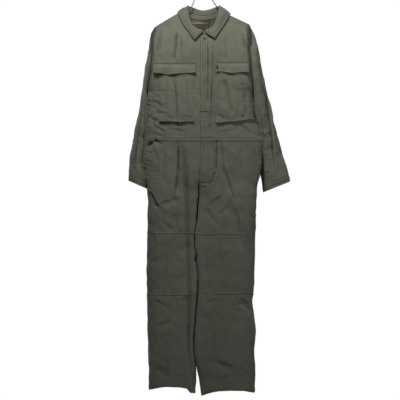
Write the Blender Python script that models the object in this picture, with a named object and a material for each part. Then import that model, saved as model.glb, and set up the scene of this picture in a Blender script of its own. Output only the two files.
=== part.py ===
"""A long-sleeved cotton boiler suit, hung by its shoulders on a wire hanger.

Every length here is in millimetres and becomes metres where a mesh is made. x runs across the suit,
towards the wearer's left; y runs from the front, at -y, to the back; "drop" is the depth below the
inside of the hanger's hook, so z = -drop. The wearer's right side is at -x. Cloth is a wall WALL thick
on the inner side of the points that its functions give, and two pieces that are sewn together keep a
gap of SEAM between their edges.
"""
import bmesh
import bpy
import numpy as np

MM = 0.001
WALL = 2.0
SEAM = 0.3
LAYER_GAP = 0.6
# the rim's triangles all slant the same way along this direction, so that two neighbours' rims match
RIM_SLANT = np.array([0.37, 0.21, 1.0])

# Levels, as drops below the hook.
WAIST = 663.0
CROTCH = 885.0
CROTCH_RISE = 115.0
ARMPIT = 477.0
EVEN_ROWS_FROM = 306.0

# The shoulder's ridge over the hanger: x, drop.
RIDGE = np.array([
    (-190, 229), (-178, 220), (-96, 171), (-70, 160), (0, 154), (74, 160), (103, 180), (170, 211),
    (181, 217)])
RIDGE_RADIUS = 6.0
SHOULDER_SPREAD = 190.0

# Necklines, from the middle out to the shoulder's ridge: x, drop.
NECK_FRONT = {
    "right": np.array([(-70, 160), (-69, 188), (-64, 215), (-54, 234), (-40, 247), (-24, 253), (-10, 256)]),
    "left": np.array([(-10, 256), (8, 255), (27, 250), (44, 241), (59, 223), (71, 194), (74, 160)])}
NECK_BACK = np.array([
    (-70, 160), (-62, 178), (-50, 190), (-30, 197), (0, 199), (32, 197), (53, 190), (66, 178), (74, 160)])

# The side edges of the body, seen from the front: drop, x at the wearer's right, x at the wearer's left.
SIDES = np.array([
    (217, -190, 181), (229, -190, 182), (270, -200, 184), (316, -205, 185), (370, -206, 188),
    (433, -209, 193), (477, -216, 198), (540, -215, 200), (581, -215, 204), (620, -218, 217),
    (663, -222, 228), (706, -225, 232), (753, -228, 229), (800, -226, 224), (862, -218, 211),
    (901, -216, 209), (971, -216, 206), (1080, -217, 202), (1190, -219, 200), (1268, -218, 196),
    (1307, -217, 192), (1338, -216, 197), (1388, -215, 204), (1490, -213, 200), (1583, -211, 204),
    (1670, -210, 200)])

# The line between the two halves and the two legs, and the gap between the legs: drop, x, gap.
MIDDLE = np.array([
    (154, -10, 0), (663, -10, 0), (780, -12, 0), (885, -16, 0.8), (930, -13, 4), (983, -18, 4),
    (1040, -23, 4), (1096, -23, 4), (1180, -15, 4), (1215, -12, 4), (1318, -18, 4), (1369, -23, 4),
    (1455, -29, 4), (1532, -26.5, 5), (1576, -23, 8), (1620, -21, 16), (1670, -17.5, 27)])

# How far the cloth stands off the hanger's plane: drop, front, back.
DEPTHS = np.array([
    (154, 64, 52), (400, 66, 54), (520, 68, 57), (600, 65, 58), (663, 60, 56), (740, 63, 60),
    (885, 64, 62), (1033, 61, 58), (1271, 57, 52), (1450, 51, 47), (1670, 44, 42)])
ROUNDNESS = 2.6
ARMHOLE_DEPTH = 47.0
ARMHOLE_FULLNESS = 0.7
FOLD_ENDS = 0.2
TOP_FADE = 20.0

# How much the body's back half narrows behind the sleeves: drop, share of its width.
TUCK = np.array([(477, 0), (540, 0.07), (610, 0.13), (700, 0.14), (830, 0.13), (900, 0.06), (960, 0)])
TUCK_FROM = -12.0
TUCK_OVER = 30.0

# Drops of the seams across the fronts of the legs, and of the hems: x, drop.
THIGH_SEAM = {"right": 1033.0, "left": 1037.0}
KNEE_SEAM = {"right": 1272.0, "left": 1268.0}
HEM = {
    "right": np.array([(-212, 1641), (-168, 1631), (-144, 1628), (-90, 1630), (-64, 1635), (-50, 1652),
                       (-30, 1654)]),
    "left": np.array([(-6, 1664), (12, 1657), (35, 1650), (62, 1645), (105, 1643), (160, 1644), (183, 1649),
                      (204, 1653)])}

# Folds: x and drop of the upper end, of the lower end, sideways bow, width and depth. A depth below
# zero is a ridge.
FOLDS_FRONT = np.array([
    (-105, 253, -115, 365, 0, 9, 5.0),
    (-84, 290, -98, 350, 0, 9, 2.0),
    (-176, 268, -170, 330, 4, 9, 2.5),
    (156, 289, 181, 345, 0, 9, 3.0),
    (-113, 425, -101, 625, 5, 11, 4.5),
    (82, 425, 113, 575, 0, 14, 3.0),
    (-222, 700, -172, 664, 0, 11, 7.0),
    (-97, 690, -95, 890, 3, 11, 6.0),
    (-74, 685, -52, 1620, 8, 16, 4.0),
    (-156, 926, -96, 897, 0, 10, 4.0),
    (-213, 868, -180, 934, 0, 10, 4.0),
    (-105, 950, -126, 1030, 0, 11, 3.0),
    (76, 690, 100, 890, 4, 14, 5.0),
    (100, 880, 192, 1150, -14, 14, 5.0),
    (129, 725, 129, 925, 0, 12, 4.0),
    (117, 930, 140, 1010, 0, 12, 3.0),
    (142, 1289, 196, 1338, -6, 12, 6.0),
    (25, 1522, 118, 1570, 6, 13, 5.0),
    (172, 1385, 189, 1625, 8, 12, 5.0),
    (-182, 1550, -134, 1594, 0, 14, 4.0)])
FOLDS_BACK = np.array([
    (-118, 245, -128, 380, 0, 12, 4.0),
    (112, 240, 124, 372, 0, 12, 4.0),
    (-60, 420, -84, 640, 8, 14, 4.0),
    (70, 430, 96, 635, -6, 14, 3.5),
    (-214, 705, -150, 668, 0, 12, 5.0),
    (-88, 700, -100, 930, 0, 13, 5.0),
    (92, 700, 108, 940, 0, 13, 5.0),
    (-150, 920, -60, 990, 0, 14, 5.0),
    (40, 980, 150, 915, 0, 14, 5.0),
    (-120, 1080, -96, 1560, 8, 15, 4.0),
    (96, 1090, 112, 1540, -8, 15, 4.0),
    (-190, 1290, -70, 1330, 8, 14, 5.0),
    (50, 1330, 180, 1286, 8, 14, 5.0)])

# Sleeve sections below the armhole, each an oval across from its outer point to its inner point:
# x and drop of the outer point, x and drop of the inner point, y of the middle, half its depth.
SLEEVE = {
    "right": np.array([
        (-201, 252, -220, 483, 1, 49), (-207, 288, -223, 491, 7, 58), (-217, 338, -223, 504, 14, 63),
        (-228, 400, -221, 525, 22, 66), (-238, 470, -217, 556, 28, 66), (-248, 542, -212, 600, 33, 62),
        (-262, 605, -209, 648, 38, 58), (-275, 671, -208, 702, 40, 54), (-285, 730, -208, 759, 41, 51),
        (-289, 780, -208, 812, 41, 50), (-291, 826, -209, 862, 41, 48)]),
    "left": np.array([
        (192, 243, 203, 482, 1, 49), (206, 272, 207, 492, 6, 58), (219, 325, 210, 508, 12, 62),
        (232, 384, 212, 528, 19, 64), (245, 450, 213, 556, 25, 63), (260, 520, 214, 592, 31, 60),
        (276, 588, 216, 642, 36, 55), (296, 664, 218, 702, 38, 50), (312, 727, 221, 762, 38, 44),
        (328, 778, 228, 818, 35, 38), (341, 829, 237, 871, 32, 32)])}
SLEEVE_SEAM = 0.6
FOLDS_SLEEVE = {
    "right": np.array([
        (-262, 640, -222, 668, 0, 10, 5.0), (-240, 700, -238, 770, 0, 10, 5.0),
        (-270, 690, -278, 780, 0, 9, 4.0), (-226, 420, -236, 560, 0, 12, 4.0)]),
    "left": np.array([
        (214, 305, 278, 795, 6, 10, 5.0), (240, 660, 290, 636, 0, 10, 4.0), (236, 712, 268, 694, 0, 9, 4.0),
        (252, 560, 240, 640, 0, 12, 3.0)])}

# The collar, station by station from the front's middle round to the back's: x, y and drop of its crest,
# then x, drop and lift of its outer edge.
COLLAR = {
    "right": np.array([
        (-1, -46, 238, 0, 249, 8), (-14, -45, 237, -12, 259, 9), (-28, -41, 231, -33, 281, 10),
        (-41, -33, 219, -55, 250, 7), (-50, -23, 198, -76, 222, 5), (-57, -11, 170, -90, 196, 6.5),
        (-60, 0, 143, -99, 168, 4.5), (-53, 10, 145, -90, 188, 4.5), (-42, 17, 148, -66, 206, 4.5),
        (-23, 22, 155, -34, 215, 4.5), (0, 24, 160, 0, 217, 4.5)]),
    "left": np.array([
        (9, -46, 238, 8, 250, 8), (18, -45, 237, 21, 261, 9), (30, -41, 231, 47, 274, 10),
        (43, -33, 217, 67, 244, 7), (53, -23, 192, 88, 214, 5), (61, -11, 165, 100, 192, 6.5),
        (65, 0, 142, 108, 175, 4.5), (58, 10, 145, 96, 194, 4.5), (46, 17, 149, 72, 208, 4.5),
        (25, 22, 156, 37, 216, 4.5), (0, 24, 160, 0, 217, 4.5)])}
STAND_SHARE = 0.5
COLLAR_TURN = 7.0
LEAF_LIFT = 5.0
LEAF_BULGE = 1.0
# the fall's two rows between crest and outer edge: share of the way down, share of the bulge
LEAF_ROWS = ((0.34, 1.0), (0.67, 0.8))
NECK_SEAM = 1.0

# Chest pockets, their flaps and what else lies on the fronts, as shares of the half's width and drops.
POCKET = {"right": (0.122, 0.78, 379, 597), "left": (0.265, 0.94, 376, 596)}
FLAP = {"right": (0.096, 0.915, 370, 409), "left": (0.284, 0.935, 366, 406)}
POCKET_STANDS = (4.5, 7.0)
GUSSET_WIDTH = 2.2
FLAP_ROLL = 0.1
FLAP_SPREAD = 0.6
PLACKET = (0.0, 0.132, 263, 558)
PLACKET_INSET = 0.02
TAB = (0.298, 0.362, 377, 401)
TAB_THICK = 0.8
LABEL_X = (-43.0, 23.0)
LABEL_DROPS = (202.0, 234.0)
LABEL_THICK = 0.8
SNAP_AT = (6.0, 270.0)
SNAP_RADIUS = 5.0
SNAP_THICK = 1.5
SNAP_SIDES = 20
SNAP_TILT = np.radians(72)

# The hanger's wire.
WIRE_RADIUS = 2.0
HOOK_RADIUS = 18.0
WIRE_BELOW_RIDGE = 8.0
BAR_DROP = 262.0
HOOK_SWEEP = np.radians(np.linspace(215, -52, 12))
# The wire's points, x and drop: below the hook, down one arm as far as the shoulder, round each end of
# the bar, and up the other arm to its end beside the first wire. Between, it runs under these x of the ridge.
NECK_WIRE = [(3.5, 41), (0.3, 50), (0, 60), (-6, 74), (-32, 121), (-51, 158), (-60, 167)]
RIGHT_UNDER = [-80, -96, -130, -165]
BAR_WIRE = [
    (-176, 227), (-181, 238), (-176, 252), (-160, BAR_DROP), (-80, BAR_DROP), (0, BAR_DROP), (80, BAR_DROP),
    (153, BAR_DROP), (169, 252), (174, 238), (170, 224)]
LEFT_UNDER = [155, 125, 103, 86]
END_WIRE = [(66, 163), (56, 150), (37, 121), (12, 76), (6, 64), (4.8, 54)]

# Colours: name, base colour, roughness, metallic.
CLOTH_LIGHT = ("washed olive twill", (0.112, 0.113, 0.083, 1), 0.9, 0.0)
CLOTH_DARK = ("olive twill", (0.078, 0.080, 0.064, 1), 0.9, 0.0)
STEEL = ("bright steel", (0.62, 0.62, 0.6, 1), 0.25, 1.0)
LABEL_CLOTH = ("dark label weave", (0.03, 0.027, 0.018, 1), 0.8, 0.0)
SNAP_PAINT = ("olive painted metal", (0.09, 0.09, 0.07, 1), 0.5, 0.3)


def smooth(keys, values, at):
    """A smooth curve through values at rising keys: cubic pieces whose slopes are those of the neighbours."""
    slopes = np.gradient(values, keys)
    at = np.clip(at, keys[0], keys[-1])
    i = np.clip(np.searchsorted(keys, at) - 1, 0, len(keys) - 2)
    step = keys[i + 1] - keys[i]
    t = (at - keys[i]) / step
    rise = values[i + 1] - values[i]
    a = slopes[i] * step - rise
    b = rise - slopes[i + 1] * step
    return values[i] + t * rise + t * (1 - t) * ((1 - t) * a + t * b)


def column(table, index, at):
    """One column of a table, read smoothly at the given drops."""
    return smooth(table[:, 0].astype(float), table[:, index].astype(float), at)


def ease(t):
    """Zero below 0, one above 1 and a smooth step between."""
    t = np.clip(t, 0, 1)
    return t * t * (3 - 2 * t)


def unit(vectors):
    """Vectors scaled to length one."""
    return vectors / np.maximum(np.linalg.norm(vectors, axis=-1, keepdims=True), 1e-9)


def fold_depth(rows, x, drop):
    """The sum of all folds at x and drop: each is a bell across its bowed line that fades at both ends."""
    total = np.zeros(np.broadcast(x, drop).shape)
    for x0, d0, x1, d1, bow, width, depth in rows:
        run = np.hypot(x1 - x0, d1 - d0)
        ax, ad = (x1 - x0) / run, (d1 - d0) / run
        t = ((x - x0) * ax + (drop - d0) * ad) / run
        off = (x - x0) * ad - (drop - d0) * ax - bow * 4 * t * (1 - t)
        total += depth * np.exp(-((off / width) ** 2)) * ease(t / FOLD_ENDS) * ease((1 - t) / FOLD_ENDS)
    return total


# ---- the body of the suit: fronts, back and legs ----

COLUMN = {"right": 1, "left": 2}
FACE = {"front": -1.0, "back": 1.0}
FOLDS = {"front": FOLDS_FRONT, "back": FOLDS_BACK}


def edge_x(side, drop):
    """x of the side edge."""
    return column(SIDES, COLUMN[side], drop)


def middle_x(side, drop):
    """x of the middle, and below the crotch of the leg's inner edge."""
    half_gap = np.maximum(column(MIDDLE, 2, drop), 0) / 2
    return column(MIDDLE, 1, drop) + (-half_gap if side == "right" else half_gap)


def tip_drop(side):
    """Drop of the shoulder point, where the armhole starts."""
    return RIDGE[0, 1] if side == "right" else RIDGE[-1, 1]


def armhole_depth(side, drop):
    """Half the armhole's opening from front to back: a rounded bump between shoulder point and armpit."""
    t = np.clip((drop - tip_drop(side)) / (ARMPIT - tip_drop(side)), 0, 1)
    return ARMHOLE_DEPTH * (4 * t * (1 - t)) ** ARMHOLE_FULLNESS


def body_point(face, side, share, drop):
    """A point of the body's cloth, share of the way from the middle to the side edge, at a drop.

    The distance from the hanger's plane rounds over the ridge, spreads below it, and closes to the side
    along a rounded oval; below the crotch it closes to the inner edge as well. Folds take from it, and
    the back half narrows behind the sleeves.
    """
    share, drop = np.broadcast_arrays(share, drop)
    x = middle_x(side, drop) + share * (edge_x(side, drop) - middle_x(side, drop))
    below = np.clip(drop - np.interp(x, RIDGE[:, 0], RIDGE[:, 1]), 0, None)
    deep = column(DEPTHS, 1 if face == "front" else 2, drop)
    rounding = RIDGE_RADIUS * np.sqrt(1 - (1 - np.clip(below / RIDGE_RADIUS, 0, 1)) ** 2)
    spread = rounding + (deep - RIDGE_RADIUS) * np.sin(np.pi / 2 * np.clip(below / SHOULDER_SPREAD, 0, 1))
    rise = np.clip((drop - CROTCH + CROTCH_RISE) / CROTCH_RISE, 0, 1)
    closing = 1 - np.sqrt(1 - rise ** 2)
    one_side = np.clip(1 - share ** ROUNDNESS, 0, 1) ** (1 / ROUNDNESS)
    both_sides = np.clip(1 - np.abs(2 * share - 1) ** ROUNDNESS, 0, 1) ** (1 / ROUNDNESS)
    profile = one_side * (1 - closing) + both_sides * closing
    at_edge = armhole_depth(side, drop)
    fade = np.clip(2 * profile, 0, 1) * ease(below / TOP_FADE)
    stand = at_edge + (spread - at_edge) * profile - fold_depth(FOLDS[face], x, drop) * fade
    y = FACE[face] * stand
    x = x * (1 - column(TUCK, 1, drop) * ease((y - TUCK_FROM) / TUCK_OVER))
    return np.stack([x, y, -drop], axis=-1)


def body_y(face, side, x, drop):
    """y of the body's cloth at x and drop."""
    share = np.clip((x - middle_x(side, drop)) / (edge_x(side, drop) - middle_x(side, drop)), 0, 1)
    return body_point(face, side, share, drop)[..., 1]


def normals(points, outward, wrap=False):
    """Unit normals of a grid of points, on the side that the outward vector at one grid place names."""
    if wrap:
        ring = points[:, :-1]
        padded = np.concatenate([ring[:, -1:], ring, ring[:, :2]], axis=1)
        across = np.gradient(padded, axis=1)[:, 1:-1]
    else:
        across = np.gradient(points, axis=1)
    found = unit(np.cross(np.gradient(points, axis=0), across))
    place, direction = outward
    return found if found[place] @ np.array(direction, float) > 0 else -found


def flatten(found, place, axis):
    """Turns the normals at a border into the plane of its seam, so that the next piece's meet them."""
    found[place + (axis,)] = 0.0
    found[place] = unit(found[place])


# ---- meshes ----


def material(colour):
    """The finish with this name, colour, roughness and metallic value."""
    name, base, rough, metallic = colour
    made = bpy.data.materials.get(name)
    if made is None:
        made = bpy.data.materials.new(name)
        made.use_nodes = True
        shader = made.node_tree.nodes["Principled BSDF"]
        shader.inputs["Base Color"].default_value = base
        shader.inputs["Roughness"].default_value = rough
        shader.inputs["Metallic"].default_value = metallic
    return made


def add_object(name, mesh, colour):
    """Puts a mesh into the scene as a named object with its finish."""
    made = bpy.data.objects.new(name, mesh)
    mesh.materials.append(material(colour))
    bpy.context.scene.collection.objects.link(made)
    return made


def grid_faces(index):
    """Four-cornered faces between neighbours of a grid of vertex numbers."""
    return np.stack([index[:-1, :-1], index[1:, :-1], index[1:, 1:], index[:-1, 1:]], axis=-1).reshape(-1, 4)


def between(name, outer, inner, colour):
    """A closed solid between two grids of points, with a wall round their border."""
    rows, cols = outer.shape[:2]
    front = np.arange(rows * cols).reshape(rows, cols)
    back = front + rows * cols
    loop = np.concatenate([front[0, :-1], front[:-1, -1], front[-1, :0:-1], front[:0:-1, 0]])
    after = np.roll(loop, -1)
    height = outer.reshape(-1, 3) @ RIM_SLANT
    first = np.where(height[loop] < height[after], loop, after)
    second = loop + after - first
    behind = rows * cols
    rim = [[a, b, b + behind] for a, b in zip(first, second)]
    rim += [[a, b + behind, a + behind] for a, b in zip(first, second)]
    faces = grid_faces(front).tolist() + grid_faces(back)[:, ::-1].tolist() + rim
    points = np.concatenate([outer.reshape(-1, 3), inner.reshape(-1, 3)]) * MM
    mesh = bpy.data.meshes.new(name)
    mesh.from_pydata(points.tolist(), [], faces)
    form = bmesh.new()
    form.from_mesh(mesh)
    bmesh.ops.recalc_face_normals(form, faces=form.faces)
    form.to_mesh(mesh)
    form.free()
    mesh.shade_smooth()
    mesh.set_sharp_from_angle(angle=np.radians(50))
    return add_object(name, mesh, colour)


def drawn_in(points, moved):
    """Moves the border rows and columns of moved inwards by half a seam, along the grid of points."""
    moved = moved.copy()
    half = SEAM / 2
    moved[0] += unit(points[1] - points[0]) * half
    moved[-1] += unit(points[-2] - points[-1]) * half
    moved[:, 0] += unit(points[:, 1] - points[:, 0]) * half
    moved[:, -1] += unit(points[:, -2] - points[:, -1]) * half
    return moved


def cloth(name, points, found, colour):
    """A cloth piece: its outer face at the points, its inner face WALL behind, half a seam in at its edges."""
    return between(name, drawn_in(points, points), drawn_in(points, points - found * WALL), colour)


# ---- bodice ----

NECK_COLUMNS = {"right": 7, "left": 7}
FRONT_TOPS = {
    "right": np.array([-10, -24, -40, -54, -64, -69, -70, -96, -120, -145, -168, -182, -190.0]),
    "left": np.array([-10, 8, 27, 44, 59, 71, 74, 103, 125, 148, 170, 181.0])}
BACK_TOPS = {
    "right": np.array([-10, -30, -50, -62, -70, -96, -120, -145, -168, -182, -190.0]),
    "left": np.array([-10, 32, 53, 66, 74, 103, 125, 148, 170, 181.0])}
BACK_NECK_COLUMNS = 5
TOP_ROW_SHARES = np.array([0, 0.12, 0.47])
EVEN_ROWS = np.array([EVEN_ROWS_FROM, 353, 400, 441, 467, ARMPIT, 514, 551, 589, 626, WAIST])
ARMHOLE_ROWS = 9


def bodice_grid(face, side):
    """Rows and columns of one half of the bodice, from the middle to the side: drops and points."""
    tops = (FRONT_TOPS if face == "front" else BACK_TOPS)[side]
    neck = NECK_FRONT[side] if face == "front" else NECK_BACK
    in_neck = (tops > RIDGE[3, 0]) & (tops < RIDGE[5, 0])
    on_neck, on_ridge = (np.interp(tops, line[:, 0], line[:, 1]) for line in (neck, RIDGE))
    top_drop = np.where(in_neck, on_neck, on_ridge)
    upper = top_drop + TOP_ROW_SHARES[:, None] * (EVEN_ROWS_FROM - top_drop)
    drops = np.concatenate([upper, np.repeat(EVEN_ROWS[:, None], len(tops), axis=1)])
    shares = (tops - tops[0]) / (tops[-1] - tops[0])
    return drops, body_point(face, side, shares[None, :], drops)


def bodice_normals(points, face, neck_columns, edges):
    """Normals of a bodice panel, flattened at the shoulder seams, side seams and waist."""
    cols = points.shape[1]
    found = normals(points, ((5, cols // 2), (0, FACE[face], 0)))
    for first, last in neck_columns:
        flatten(found, (0, slice(first, last)), 1)
    for edge in edges:
        flatten(found, (slice(ARMHOLE_ROWS - 1, None), edge), 1)
    flatten(found, (-1,), 2)
    return found


def make_bodice():
    """Grids of the two fronts and the back, each as drops, points and normals."""
    panels = {}
    for side in ("right", "left"):
        drops, points = bodice_grid("front", side)
        found = bodice_normals(points, "front", [(NECK_COLUMNS[side] - 1, None)], [-1])
        flatten(found, (slice(None), 0), 0)
        panels["front_" + side] = [drops, points, found]
    right, left = (bodice_grid("back", side) for side in ("right", "left"))
    drops, points = (np.concatenate([r[:, ::-1], f[:, 1:]], axis=1) for r, f in zip(right, left))
    shoulder = len(BACK_TOPS["right"]) - BACK_NECK_COLUMNS + 1
    neck_end = len(BACK_TOPS["right"]) + BACK_NECK_COLUMNS - 2
    found = bodice_normals(points, "back", [(None, shoulder), (neck_end, None)], [0, -1])
    panels["back"] = [drops, points, found]
    return panels


# ---- sleeves ----


def armhole(panels, side, part):
    """The armhole's loop in a list of grids: down the front's edge to the armpit and up the back's."""
    front = panels["front_" + side][part][:ARMHOLE_ROWS, -1]
    back = panels["back"][part][:ARMHOLE_ROWS, 0 if side == "right" else -1]
    return np.concatenate([front, back[-2::-1]])


def sleeve_points(panels, side):
    """Ring after ring of a sleeve: the armhole's loop, then ovals of the sleeve's table with their folds."""
    turn = np.linspace(0, 2 * np.pi, 2 * ARMHOLE_ROWS - 1)
    across = ((1 - np.cos(turn)) / 2)[None, :, None]
    rows = SLEEVE[side].astype(float)
    outer = np.stack([rows[:, 0], rows[:, 4], -rows[:, 1]], axis=-1)[:, None]
    inner = np.stack([rows[:, 2], rows[:, 4], -rows[:, 3]], axis=-1)[:, None]
    rings = outer + (inner - outer) * across
    rings[..., 1] -= rows[:, 5, None] * np.sin(turn)
    return np.concatenate([armhole(panels, side, 1)[None], rings])


def make_sleeve(panels, side):
    """A sleeve as a front and a back half, whose normals at the armhole are shared with the bodice."""
    points = sleeve_points(panels, side)
    outward = ((6, (ARMHOLE_ROWS - 1) // 2), (0, -1, 0))
    found = normals(points, outward, wrap=True)
    fade = ease(np.arange(len(points)) / 2)[:, None]
    depth = fold_depth(FOLDS_SLEEVE[side], points[..., 0], -points[..., 2]) * fade
    points = points - found * depth[..., None]
    found = normals(points, outward, wrap=True)
    for seam in (0, ARMHOLE_ROWS - 1, 2 * ARMHOLE_ROWS - 2):
        flatten(found, (slice(None), seam), 1)
    points[0] += unit(points[1] - points[0]) * SLEEVE_SEAM
    shared = unit(found[0] + armhole(panels, side, 2))
    found[0] = shared
    panels["front_" + side][2][:ARMHOLE_ROWS, -1] = shared[:ARMHOLE_ROWS]
    panels["back"][2][:ARMHOLE_ROWS, 0 if side == "right" else -1] = shared[:ARMHOLE_ROWS - 2:-1]
    half = ARMHOLE_ROWS
    cloth("sleeve_front_" + side, points[:, :half], found[:, :half], CLOTH_LIGHT)
    cloth("sleeve_back_" + side, points[:, half - 1:], found[:, half - 1:], CLOTH_LIGHT)


# ---- legs ----

RISE_ROWS = np.array([WAIST, 700, 740, 780, 815, 843, 866, CROTCH])
THIGH_STEPS = 4
KNEE_STEPS = 5
SHIN_STEPS = 7
LEG_COLUMNS = 12


def leg_drops(side, shares):
    """Drops of a leg's rows and columns: level ones down to the knee's lower seam, then on to the hem."""
    thigh = np.linspace(CROTCH, THIGH_SEAM[side], THIGH_STEPS + 1)[1:]
    knee = np.linspace(THIGH_SEAM[side], KNEE_SEAM[side], KNEE_STEPS + 1)[1:]
    level = np.concatenate([RISE_ROWS, thigh, knee])
    low = HEM[side][-1, 1]
    hem_x = middle_x(side, low) + shares * (edge_x(side, low) - middle_x(side, low))
    hem = np.interp(hem_x, HEM[side][:, 0], HEM[side][:, 1])
    shin = KNEE_SEAM[side] + np.linspace(0, 1, SHIN_STEPS + 1)[1:, None] * (hem - KNEE_SEAM[side])
    return np.concatenate([np.repeat(level[:, None], len(shares), axis=1), shin])


def make_leg(side):
    """A leg: thigh, knee and shin panels in front, one full-length panel behind."""
    shares = (1 - np.cos(np.linspace(0, np.pi, LEG_COLUMNS))) / 2
    drops = leg_drops(side, shares)
    thigh = len(RISE_ROWS) + THIGH_STEPS
    knee = thigh + KNEE_STEPS
    crotch = len(RISE_ROWS) - 1
    to_other_leg = (1.0 if side == "right" else -1.0, 0.0, 0.0)
    for face in ("front", "back"):
        points = body_point(face, side, shares[None, :], drops)
        found = normals(points, ((4, LEG_COLUMNS // 2), (0, FACE[face], 0)))
        flatten(found, (slice(None), -1), 1)
        flatten(found, (slice(None, crotch), 0), 0)
        found[crotch:, 0] = to_other_leg
        flatten(found, (0,), 2)
        flatten(found, (-1,), 2)
        if face == "back":
            cloth("leg_back_" + side, points, found, CLOTH_DARK)
            continue
        flatten(found, (thigh - 1,), 2)
        flatten(found, (knee - 1,), 2)
        for name, first, last in (("thigh", 0, thigh), ("knee", thigh - 1, knee), ("shin", knee - 1, None)):
            rows = slice(first, last)
            cloth(f"{name}_front_{side}", points[rows], found[rows], CLOTH_DARK)


# ---- collar ----


def collar_stations(panels):
    """The neck's inner edge and the bodice's normals along it, from one front round to the other."""
    edges = {}
    for side in ("right", "left"):
        _, points, found = panels["front_" + side]
        edges[side] = [grid[0, :NECK_COLUMNS[side]] for grid in (points, found)]
    _, points, found = panels["back"]
    middle = len(BACK_TOPS["right"]) - 1
    span = slice(middle - BACK_NECK_COLUMNS + 2, middle + BACK_NECK_COLUMNS - 1)
    behind = [grid[0, span] for grid in (points, found)]
    joined = [np.concatenate([edges["right"][i], behind[i], edges["left"][i][::-1]]) for i in (0, 1)]
    return joined[0] - joined[1] * WALL, joined[1]


def collar_table(index):
    """One column of both halves of the collar's table, in the order of the stations."""
    return np.concatenate([COLLAR["right"][:, index], COLLAR["left"][-2::-1, index]]).astype(float)


def make_collar(panels):
    """Stand and fall, lofted from the neck's edge up to the crest, over it and down to the outer edge."""
    neck, neck_normals = collar_stations(panels)
    crest = np.stack([collar_table(0), collar_table(1), -collar_table(2)], axis=-1)
    edge_xs, edge_drops, lift = collar_table(3), collar_table(4), collar_table(5)
    half = len(COLLAR["right"])
    stations = []
    for side in ("right", "left"):
        front = NECK_COLUMNS[side] - 1
        row = [(side, "front")] * front + [(side, None)] + [(side, "back")] * (half - front - 1)
        stations += row if side == "right" else row[-2::-1]
    edge_ys = np.zeros(len(crest))
    for i, (side, face) in enumerate(stations):
        if face:
            edge_ys[i] = body_y(face, side, edge_xs[i], edge_drops[i]) + FACE[face] * lift[i]
    edge = np.stack([edge_xs, edge_ys, -edge_drops], axis=-1)
    upright = normals(np.stack([neck, crest]), ((0, half - 1), (0, 1, 0)))[0]
    outward = unit(upright * (1, 1, 0)) * COLLAR_TURN / 2
    dip = np.array([0, 0, COLLAR_TURN / 2])
    inside_top = crest - outward - dip
    outside_top = crest + outward - dip
    neck = neck + unit(inside_top - neck) * NECK_SEAM
    middle = neck + (inside_top - neck) * STAND_SHARE
    bulge = outward * LEAF_BULGE + dip / 2
    upper_leaf, lower_leaf = (
        outside_top + (edge - outside_top) * down + bulge * full for down, full in LEAF_ROWS)
    for i, (side, face) in enumerate(stations):
        if face is None:
            continue
        over_stand = abs(neck[i, 1]) + LEAF_LIFT
        for leaf, least in ((upper_leaf[i], over_stand), (lower_leaf[i], 0)):
            clear = FACE[face] * body_y(face, side, leaf[0], -leaf[2]) + LEAF_LIFT
            leaf[1] = FACE[face] * max(FACE[face] * leaf[1], clear, least)
    rows = [neck, middle, inside_top, crest, outside_top, upper_leaf, lower_leaf, edge]
    points = np.stack(rows)
    found = normals(points, ((-2, half - 1), (0, 1, 0)))
    found[0] = -neck_normals
    level = unit(upright * (1, 1, 0))
    found[1] = level
    found[1, 1:-1] = unit(level[:-2] + level[1:-1] + level[2:])
    found[1] *= -1
    cloth("collar_stand", points[:2], found[:2], CLOTH_LIGHT)
    points[1] += unit(points[2] - points[1]) * SEAM
    cloth("collar_fall", points[1:], found[1:], CLOTH_LIGHT)


# ---- what lies on the panels ----


NEAREST_PLACE = 0.15
SMALL_STEP = 0.01


def sample(grid, rows, cols):
    """A grid read between its rows and columns, by weights of its four nearest places."""
    r = np.clip(np.floor(rows).astype(int), 0, grid.shape[0] - 2)
    c = np.clip(np.floor(cols).astype(int), 0, grid.shape[1] - 2)
    fr, fc = (rows - r)[..., None], (cols - c)[..., None]
    upper = grid[r, c] * (1 - fc) + grid[r, c + 1] * fc
    lower = grid[r + 1, c] * (1 - fc) + grid[r + 1, c + 1] * fc
    return upper * (1 - fr) + lower * fr


def places(first, last):
    """Every grid place from first to last: both ends and the whole numbers between them."""
    inside = np.arange(np.ceil(first + NEAREST_PLACE), np.floor(last - NEAREST_PLACE) + 1)
    return np.concatenate([[first], inside, [last]])


def panel_places(panel, start, end, top, bottom):
    """Row and column places on a panel between two column places and two drops."""
    cols = places(start, end)
    drops = panel[0]
    ends = []
    for level in (top, bottom):
        by_column = [np.interp(level, drops[:, i], np.arange(len(drops))) for i in range(drops.shape[1])]
        ends.append(np.interp(cols, np.arange(drops.shape[1]), by_column))
    inside = places(ends[0].max(), ends[1].min())[1:-1]
    rows = np.concatenate([ends[0][None], np.repeat(inside[:, None], len(cols), axis=1), ends[1][None]])
    return rows, np.repeat(cols[None], len(rows), axis=0)


def share_column(side, share):
    """Column place on a front panel at a share of its width."""
    tops = FRONT_TOPS[side]
    shares = (tops - tops[0]) / (tops[-1] - tops[0])
    return np.interp(share, shares, np.arange(len(shares)))


def layer(name, panel, rows, cols, near, far, colour):
    """A solid between two distances from a panel's outer face; the distances may change by row."""
    base, found = sample(panel[1], rows, cols), unit(sample(panel[2], rows, cols))
    far, near = (np.broadcast_to(np.reshape(d, (-1, 1, 1)), base.shape[:2] + (1,)) for d in (far, near))
    return between(name, base + found * far, base + found * near, colour)


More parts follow.
